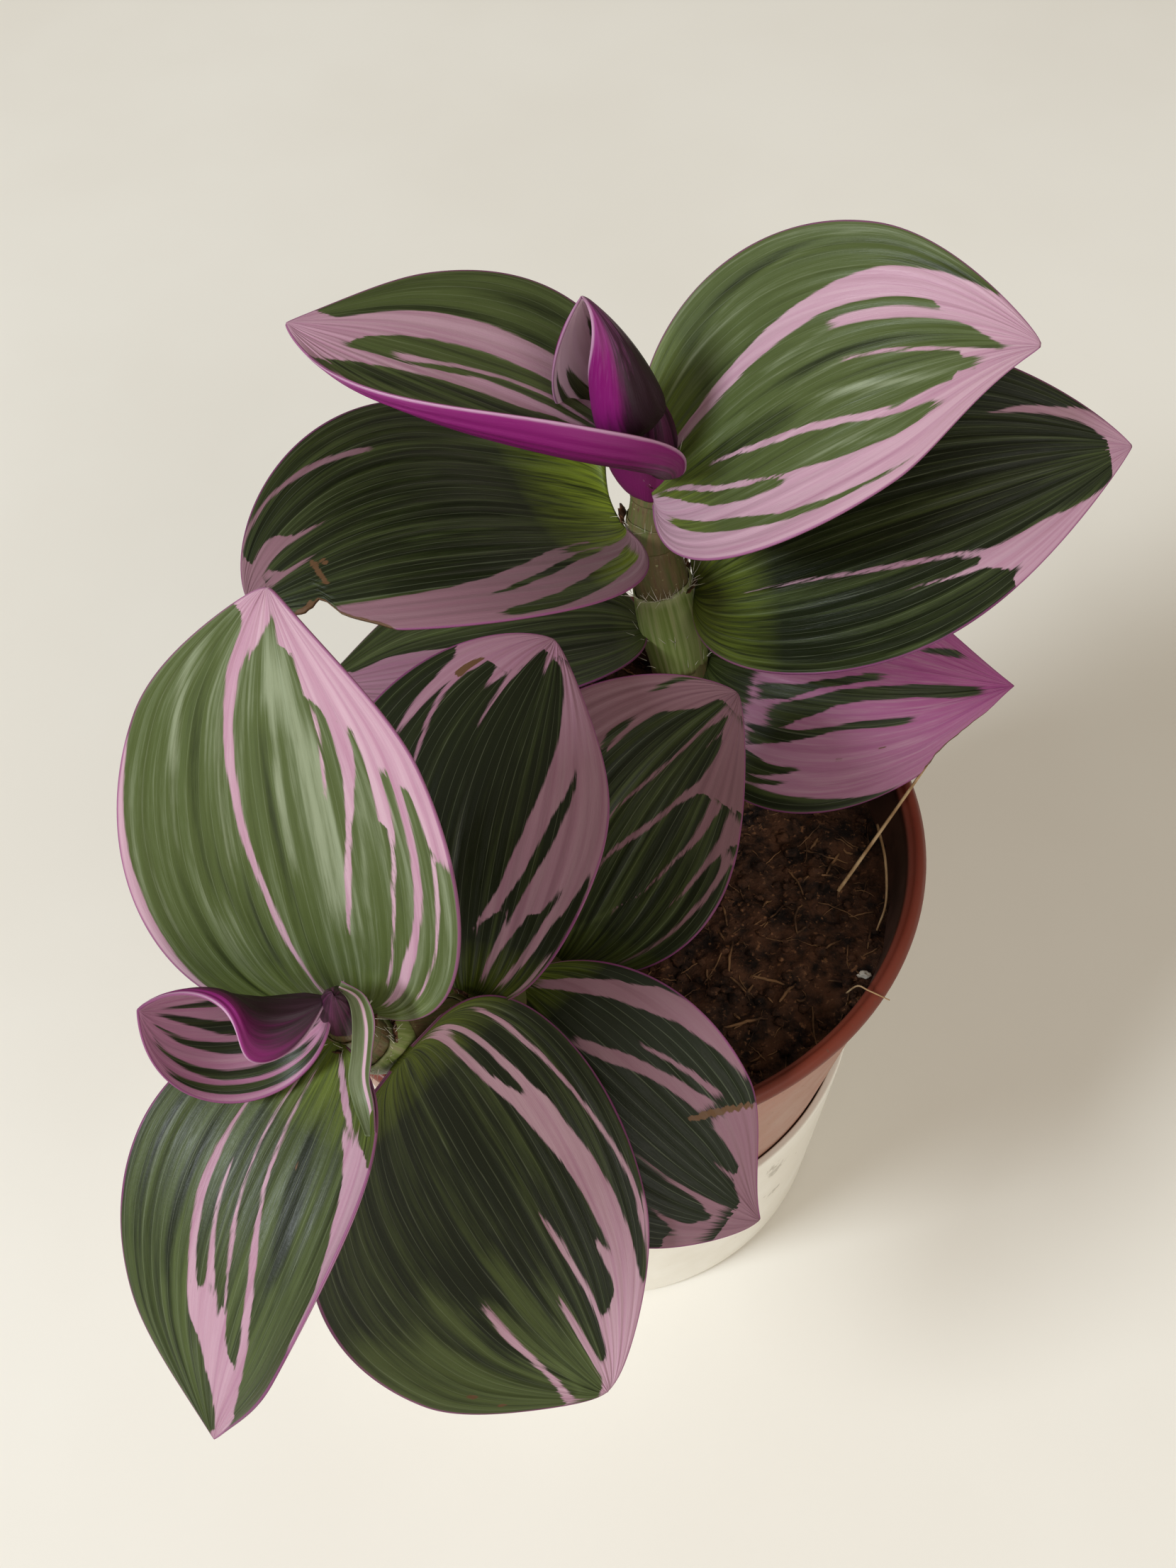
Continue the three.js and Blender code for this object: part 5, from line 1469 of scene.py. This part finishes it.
def make_stem(name):
    stem = STEMS[name]
    path = smooth_line(stem["points"], STEM_ROWS)
    t = np.linspace(0, 1, STEM_ROWS)
    angle = np.linspace(0, 2 * math.pi, STEM_SIDES, endpoint=False)
    joint = joint_nearness(name, path)[:, None]
    radius = stem_radius(stem, t) * np.clip((1 - t) / STEM_POINT, 0.12, 1) ** 0.5
    groove = STEM_RELIEF * np.sin(angle * GROOVE_COUNT) * (1 - joint)
    collar = STEM_RELIEF * joint * np.clip((path[:, 2:] - SOIL_COVERS_TO) / 4, 0, 1)
    points, quads = closed_tube(tube_rings(path, radius[:, None] + collar + groove, STEM_SIDES))
    walked = np.concatenate([[0], np.cumsum(np.linalg.norm(np.diff(path, axis=0), axis=1))])
    flat = np.ones((STEM_ROWS, STEM_SIDES))
    place = np.stack([angle * 4 * flat, walked[:, None] * flat, stem["foot"] * flat], -1)
    marks = np.stack([joint * flat] * 3, -1)
    ends = np.zeros((2, 3))
    piece = new_piece(name + "_stalk", points, quads, [STEM_SKIN], values={
        "place": np.concatenate([place.reshape(-1, 3), ends]),
        "marks": np.concatenate([marks.reshape(-1, 3), ends])})
    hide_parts(name)

for stem_name in STEMS:
    make_stem(stem_name)

# %% [markdown]
# ## Turning an outline
# The pot and the cup are bodies of revolution: half an outline is turned round the axis. The
# Screw modifier does this as well, but a formula can let the wall waver a very little, as thin
# moulded plastic does. The outline goes up the outside, over the lip and down the inside, and
# its corners are rounded with short arcs, so that the rim catches a soft line of light.

# %% Lathe
TURNED_SIDES, TURNED_STEP = 180, 3.0

def rounded_outline(corners, radius, steps=5):
    """An open outline whose inner corners are cut by short arcs."""
    corners = [np.array(c, float) for c in corners]
    line = [corners[0]]
    for before, here, after in zip(corners, corners[1:], corners[2:]):
        reach = min(radius, np.linalg.norm(here - before) * 0.45, np.linalg.norm(after - here) * 0.45)
        start = here + unit(before - here) * reach
        end = here + unit(after - here) * reach
        for t in np.linspace(0, 1, steps):
            line.append((1 - t) ** 2 * start + 2 * t * (1 - t) * here + t ** 2 * end)
    line.append(corners[-1])
    return np.array(line)

def subdivided(outline, longest):
    """More points on the long stretches of an outline, so that the surface can be shaped."""
    line = [outline[0]]
    for here, there in zip(outline, outline[1:]):
        pieces = max(1, math.ceil(np.linalg.norm(there - here) / longest))
        line += [here + (there - here) * k / pieces for k in range(1, pieces + 1)]
    return np.array(line)

def turned_piece(name, corners, rounding, material, waver):
    """Turns corners of (radius, height) round the axis; both ends lie on the axis."""
    outline = subdivided(rounded_outline(corners, rounding), TURNED_STEP)[1:-1]
    angle = np.linspace(0, 2 * math.pi, TURNED_SIDES, endpoint=False)
    height = np.repeat(outline[:, 1:], TURNED_SIDES, 1)
    radius = outline[:, :1] * (1 + waver / 50 * np.sin(angle * 2 + 0.7) * height / 90)
    rings = np.stack([radius * np.cos(angle), radius * np.sin(angle), height], -1)
    return new_piece(name, *closed_tube(rings), [material])

print("turned pieces have", TURNED_SIDES, "sides")

# %% [markdown]
# ## The nursery pot
# The pot is thin moulded plastic in a terracotta colour, mottled. Below the rim the whole outer
# wall is paler and pinker, partly a film of dust and partly painted light for the lit wall and the
# table's reflection. The thin lip is painted a darker brick red and the inner wall above the soil
# a dark brown, both painted shade. A picture wrapped round it would show a seam, so the finish is
# made of noise in the piece's own coordinates, and the bands are chosen by height.

# %% Pot measures
POT_TOP, POT_FLOOR, POT_FLOOR_TOP = 87, 4, 6
POT_FOOT_RADIUS, POT_SLOPE, POT_WALL = 33.2, 0.1923, 1.6
LIP_FOOT = 84.2
ROLLED_LIP = [(49.3, 84.6), (50, 85.4), (50, 86.1), (49.4, POT_TOP), (48.5, POT_TOP), (48.0, 86.3)]

def pot_outer(height):
    return POT_FOOT_RADIUS + POT_SLOPE * (height - POT_FLOOR)

def pot_inner(height):
    return pot_outer(height) - POT_WALL

print("rim is", 2 * max(radius for radius, _ in ROLLED_LIP), "mm across")

# %% Pot finish
# the pale dusty colour is partly painted light; the brick red and the dark inner wall are painted shade
CLAY_DARK, CLAY_LIGHT = colour(150, 82, 60), colour(164, 96, 74)
CLAY_DUST_AND_LIGHT, SHADED_BRICK_RED = colour(162, 126, 110), colour(104, 36, 20)
SHADED_INNER_WALL, CLAY_SPECK = colour(48, 31, 23), colour(92, 60, 44)

def inside_of_pot(tree, x, y, z):
    """1 on the inner wall and nought on the outer one, by the distance from the axis."""
    square = plus(tree, times(tree, x, x), times(tree, y, y))
    wall_at_nought = POT_FOOT_RADIUS - POT_SLOPE * POT_FLOOR - POT_WALL / 2
    wall = calc(tree, "MULTIPLY_ADD", z, POT_SLOPE, wall_at_nought * MM)
    inward = calc(tree, "SUBTRACT", wall, calc(tree, "SQRT", square))
    below_lip = ease(tree, z, 85.2 * MM, 86.4 * MM, 1.0, 0.0)
    return times(tree, ease(tree, inward, 0.0, 0.3 * MM), below_lip)

def pot_material():
    material, tree, shader = new_material("terracotta_plastic", specular=0.4)
    place = object_place(tree)
    x, y, z = split(tree, place)
    mottle = cloudy(tree, place, 120, 4)
    grain = cloudy(tree, place, 900, 3)
    patch_cloud = cloudy(tree, place, 45, 4)
    shade = blend_colours(tree, ease(tree, mottle, 0.3, 0.7), CLAY_DARK, CLAY_LIGHT)
    # the outer wall below the rim is paler and pinker: partly a film of dust, partly painted light
    under_rim = ease(tree, z, 86.8 * MM, 85.5 * MM)
    dusty_and_lit = times(tree, under_rim, ease(tree, patch_cloud, 0.25, 0.6, 0.45, 0.9))
    shade = blend_colours(tree, dusty_and_lit, shade, CLAY_DUST_AND_LIGHT)
    # the lip is a darker brick red: painted shade, as the rim lies in shadow
    wavering = plus(tree, z, swing(tree, mottle, 2 * MM))
    lip = ease(tree, wavering, 84.1 * MM, 84.6 * MM, 0.0, 0.9)
    shade = blend_colours(tree, lip, shade, SHADED_BRICK_RED)
    # the inner wall above the soil goes dark brown: painted shade inside the pot
    inner_shade = times(tree, inside_of_pot(tree, x, y, z), ease(tree, patch_cloud, 0.3, 0.6, 0.75, 0.97))
    shade = blend_colours(tree, inner_shade, shade, SHADED_INNER_WALL)
    specks = ease(tree, cloudy(tree, place, 1500, 1), 0.7, 0.76, 0.0, 0.5)
    shade = blend_colours(tree, specks, shade, CLAY_SPECK)
    tree.links.new(shade, shader.inputs["Base Color"])
    tree.links.new(ease(tree, mottle, 0.3, 0.7, 0.42, 0.6), shader.inputs["Roughness"])
    add_bump(tree, shader, plus(tree, grain, times(tree, mottle, 2.0)), 0.05, 0.5)
    return material

print("pot finish bands lie between 84.1 and 86.8 mm")

# %% Pot
POT_ROUNDING, POT_WAVER = 0.7, 0.12

def pot_corners():
    outside = [(0, POT_FLOOR), (POT_FOOT_RADIUS, POT_FLOOR), (pot_outer(LIP_FOOT), LIP_FOOT)]
    inside = [(pot_inner(84.6) + 0.2, 86), (pot_inner(83.6), 83.6)]
    floor = [(pot_inner(POT_FLOOR_TOP), POT_FLOOR_TOP), (0, POT_FLOOR_TOP)]
    return outside + ROLLED_LIP + inside + floor

pot = turned_piece("nursery_pot", pot_corners(), POT_ROUNDING, pot_material(), POT_WAVER)
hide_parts("pot")

# %% [markdown]
# ## The white cup
# The cup is thin white plastic, smoother than the pot, with three grey smudges on its front and a
# few specks. The smudges could be painted on a picture, but a small sphere of distance round a
# point, roughened by noise, gives the same soft stain without one.

# %% Cup finish
# the middle of each smudge and how far it reaches, in millimetres
SMUDGES = [((27, -31.3, 33.8), 2.6), ((27.5, -29.2, 21.4), 1.5), ((26.3, -32.3, 36.8), 1.4)]
CUP_WHITE, CUP_CREAM = colour(238, 235, 226), colour(228, 223, 211)
SMUDGE_GREY, CUP_SPECK = colour(150, 140, 124), colour(140, 118, 92)

def distance_to(tree, place, centre):
    inputs = {0: place, 1: Vector(centre) * MM}
    return add_node(tree, "ShaderNodeVectorMath", inputs, operation="DISTANCE").outputs["Value"]

def cup_material():
    material, tree, shader = new_material("white_cup_plastic", roughness=0.32, specular=0.5)
    place = object_place(tree)
    cloud = cloudy(tree, place, 60, 4)
    fine = cloudy(tree, place, 700, 3)
    shade = blend_colours(tree, ease(tree, cloud, 0.3, 0.7), CUP_WHITE, CUP_CREAM)
    for centre, reach in SMUDGES:
        rough = plus(tree, distance_to(tree, place, centre), swing(tree, fine, 6 * MM))
        stain = ease(tree, rough, reach * MM, reach * 0.3 * MM, 0.0, 0.6)
        shade = blend_colours(tree, stain, shade, SMUDGE_GREY)
    specks = ease(tree, cloudy(tree, place, 420, 1), 0.74, 0.8, 0.0, 0.45)
    shade = blend_colours(tree, specks, shade, CUP_SPECK)
    tree.links.new(shade, shader.inputs["Base Color"])
    tree.links.new(ease(tree, cloud, 0.3, 0.7, 0.28, 0.42), shader.inputs["Roughness"])
    add_bump(tree, shader, cloud, 0.1, 0.25)
    return material

print("smudges", len(SMUDGES))

# %% Cup
CUP_TOP, CUP_FLOOR_TOP = 43, 3.7
CUP_CORNERS = [(0, 0), (37.2, 0), (38, 0.8), (42.2, 42.4), (42.1, CUP_TOP), (40.95, CUP_TOP), (40.85, 42.4),
               (37, CUP_FLOOR_TOP), (0, CUP_FLOOR_TOP)]
CUP_ROUNDING, CUP_WAVER = 0.35, 0.1

cup = turned_piece("white_cup", CUP_CORNERS, CUP_ROUNDING, cup_material(), CUP_WAVER)
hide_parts("outer_cup")

# %% [markdown]
# ## Soil
# Peaty potting soil is dark brown, open and fibrous. A flat disc with a bumpy finish would look
# painted where the light falls along it, so its surface is a fine disc whose heights come from
# several layers of noise. It is closed below, so that it is a real plug in the pot.

# %% Soil finish
def soil_material():
    material, tree, shader = new_material("potting_soil", specular=0.25)
    place = object_place(tree)
    clods = cloudy(tree, place, 260, 5, 0.65)
    grains = cloudy(tree, place, 1100, 3)
    wet = ease(tree, cloudy(tree, place, 50, 2), 0.4, 0.65, 0.0, 0.4)
    shade = blend_colours(tree, ease(tree, clods, 0.35, 0.65), colour(22, 14, 10), colour(86, 56, 38))
    shade = blend_colours(tree, ease(tree, grains, 0.58, 0.72), shade, colour(132, 92, 62))
    shade = blend_colours(tree, wet, shade, colour(30, 21, 16))
    tree.links.new(shade, shader.inputs["Base Color"])
    tree.links.new(ease(tree, grains, 0.3, 0.7, 0.95, 0.75), shader.inputs["Roughness"])
    add_bump(tree, shader, plus(tree, clods, times(tree, grains, 0.6)), 0.7, 1.0)
    return material

SOIL = soil_material()
print(SOIL.name, "nodes", len(SOIL.node_tree.nodes))

# %% Height of the soil
SOIL_TOP, SOIL_RELIEF, SOIL_EDGE = 77, 1.6, 46.0
CLOD_HEIGHT, CLOD_RATE, SUNK = 1.15, 0.16, 0.25

def soil_height(x, y):
    """The CAD plug's own gentle relief, so that crumbs can be set down on it."""
    broad = 0.55 * np.sin(.11 * x + 1.3) * np.cos(.13 * y - .4)
    small = 0.45 * np.sin(.43 * x + .21 * y) * np.cos(.37 * y - .18 * x + .8)
    fall = 4 * np.maximum(0, np.hypot(x, y) / 45 - .8)
    return SOIL_TOP + SOIL_RELIEF * (broad + small) - fall

def rough_height(x, y):
    """Soil height with clods and crumbs in it."""
    clods = noise.fractal(Vector((x * CLOD_RATE, y * CLOD_RATE, 0.5)), 0.7, 2.1, 6)
    return float(soil_height(x, y)) + CLOD_HEIGHT * clods - SUNK

print("soil stands at", round(rough_height(0, 0), 1), "mm in the middle")

# %% Soil plug
SOIL_RINGS, SOIL_SIDES = 90, 280
SKIRT_HEIGHTS = np.array([70, 50, 30, 6.3])
SKIRT_GAP = 0.4

def make_soil():
    radius = np.concatenate([[0.4], np.linspace(1.2, SOIL_EDGE, SOIL_RINGS - 1)])
    angle = np.linspace(0, 2 * math.pi, SOIL_SIDES, endpoint=False)
    top = np.zeros((SOIL_RINGS, SOIL_SIDES, 3))
    for i, r in enumerate(radius):
        for j, a in enumerate(angle):
            x, y = r * math.cos(a), r * math.sin(a)
            top[i, j] = (x, y, rough_height(x, y))
    skirt_radius = np.array([pot_inner(height) - SKIRT_GAP for height in SKIRT_HEIGHTS])
    skirt = np.stack([np.outer(skirt_radius, np.cos(angle)), np.outer(skirt_radius, np.sin(angle)),
                      np.repeat(SKIRT_HEIGHTS[:, None], SOIL_SIDES, 1)], -1)
    piece = new_piece("soil_bed", *closed_tube(np.concatenate([top, skirt])), [SOIL])
    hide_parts("soil")

make_soil()

# %% [markdown]
# ## Crumbs on the soil
# Loose crumbs of all sizes break up the surface, most of them small. Scattered copies of one
# stone would look alike, so each crumb is a small ball of points pushed in and out by noise of
# its own. They are placed with a fixed seed, so the soil looks the same each time, and all of
# them rest on the rough surface.

# %% Crumbs
CRUMB_SEED, CRUMB_COUNT, CRUMB_REACH = 11, 1500, 45

def lump(centre, size, rings=5, sides=8, salt=0.0):
    """A small closed lump, as rings of points from pole to pole."""
    polar = np.linspace(0.12, math.pi - 0.12, rings)
    around = np.linspace(0, 2 * math.pi, sides, endpoint=False)
    grid = np.stack([np.outer(np.sin(polar), np.cos(around)), np.outer(np.sin(polar), np.sin(around)),
                     np.repeat(np.cos(polar)[:, None], sides, 1)], -1)
    shift = Vector((salt, 0, salt))
    push = [[0.75 + 0.6 * noise.noise(Vector(p) * 1.6 + shift) for p in row] for row in grid]
    return np.array(centre) + grid * np.array(push)[..., None] * np.array(size)

def soil_spot(rng, reach):
    radius = reach * math.sqrt(rng.random())
    angle = rng.random() * 2 * math.pi
    x, y = radius * math.cos(angle), radius * math.sin(angle)
    return x, y, rough_height(x, y)

def make_crumbs():
    rng = np.random.default_rng(CRUMB_SEED)
    parts = []
    for number in range(CRUMB_COUNT):
        x, y, z = soil_spot(rng, CRUMB_REACH)
        size = 0.3 + 1.25 * rng.random() ** 2.2
        flat = size * (0.45 + 0.4 * rng.random())
        crumb = lump((x, y, z + flat * 0.3), (size, size * 0.8, flat), salt=number * 3.7)
        parts.append(closed_tube(crumb))
    piece = new_piece("soil_crumbs", *gather(parts), [SOIL])

make_crumbs()

# %% [markdown]
# ## Fibres in the soil
# Peat is full of short brown fibres. Single curves with a bevel would do, but hundreds of them
# are slow, so each fibre is a thin bent tube and all of them make one mesh. A fibre starts
# somewhere on the soil and wanders over it in small steps.

# %% Fibres
FIBRE_SEED, FIBRE_COUNT, FIBRE_REACH, FIBRE_EDGE = 23, 620, 44, 45
FIBRE_SIDES, FIBRE_STEPS = 4, 14

def fibre_material(name, dark, light):
    material, tree, shader, place = two_tone_material(name, 260, 3, dark, light, 0.7, 0.3)
    add_bump(tree, shader, cloudy(tree, place, 1800, 2), 0.05, 0.5)
    return material

def bent_fibre(rng, x, y, length, thick, heading):
    """The path of a fibre that wanders over the soil; none if it would be too short."""
    path = []
    turn = rng.normal() * 0.04
    for step in range(FIBRE_STEPS):
        arch = math.sin(math.pi * step / (FIBRE_STEPS - 1)) * length * 0.06
        path.append((x, y, rough_height(x, y) + thick + arch))
        heading += turn + rng.normal() * 0.06
        x += math.cos(heading) * length / FIBRE_STEPS
        y += math.sin(heading) * length / FIBRE_STEPS
        if math.hypot(x, y) > FIBRE_EDGE:
            break
    return np.array(path) if len(path) > 3 else None

def make_fibres():
    rng = np.random.default_rng(FIBRE_SEED)
    parts = []
    for _ in range(FIBRE_COUNT):
        x, y, _ = soil_spot(rng, FIBRE_REACH)
        thick = 0.07 + 0.2 * rng.random() ** 2
        length = 1.5 + 6 * rng.random() ** 2
        path = bent_fibre(rng, x, y, length, thick, rng.random() * 6.3)
        if path is not None:
            taper = thick * (0.5 + 0.5 * np.sin(np.linspace(0.15, math.pi - 0.15, len(path))))
            parts.append(closed_tube(tube_rings(path, taper, FIBRE_SIDES, (0, 0, 1))))
    fibre = fibre_material("peat_fibre", colour(58, 38, 24), colour(142, 106, 72))
    piece = new_piece("soil_fibres", *gather(parts), [fibre])
    print("fibres", len(parts))

make_fibres()

# %% [markdown]
# ## A straw, roots and a white grain
# Three longer strands can be told apart in the soil: a straw that leans over the rim, a pale
# root and a fine fibre at the rim. Beside them lies one white grain of perlite. Each is placed
# one by one, the strands as tubes along a few points and the grain as one more lump.

# %% Straw, root and perlite
STRANDS = {
    "long_straw": ([(36.8, -7.2, 79.2), (42.3, -1.6, 83.2), (48, 4, 87.9), (54, 10.2, 92.6)], 0.28),
    "pale_root": ([(44.2, 3.8, 80.5), (44.3, -3.5, 81.5), (43.5, -10.5, 80.6), (41.8, -14.2, 78.6)], 0.22),
    "rim_fibre": ([(35.4, -26.6, 82), (36.4, -28.2, 86.6), (37.7, -29.7, 87.7), (40.6, -30.8, 86.6)], 0.13),
}
STRAND_POINTS, STRAND_SIDES = 40, 10
GRAIN_PLACE, GRAIN_SIZE = (39.1, -20.9), (1.3, 0.8, 0.7)

def make_strands():
    straw = fibre_material("dry_straw", colour(150, 118, 82), colour(196, 168, 128))
    parts = []
    for points, thick in STRANDS.values():
        path = smooth_line(points, STRAND_POINTS)
        taper = thick * (1 - 0.35 * np.linspace(0, 1, STRAND_POINTS) ** 2)
        parts.append(closed_tube(tube_rings(path, taper, STRAND_SIDES, (0, 0, 1))))
    piece = new_piece("straw_and_roots", *gather(parts), [straw])

def make_grain():
    perlite = fibre_material("perlite_grain", colour(206, 198, 182), colour(228, 224, 212))
    centre = (*GRAIN_PLACE, rough_height(*GRAIN_PLACE) + 0.4)
    piece = new_piece("perlite_grain", *closed_tube(lump(centre, GRAIN_SIZE, 14, 18, 8.0)), [perlite])

make_strands()
make_grain()
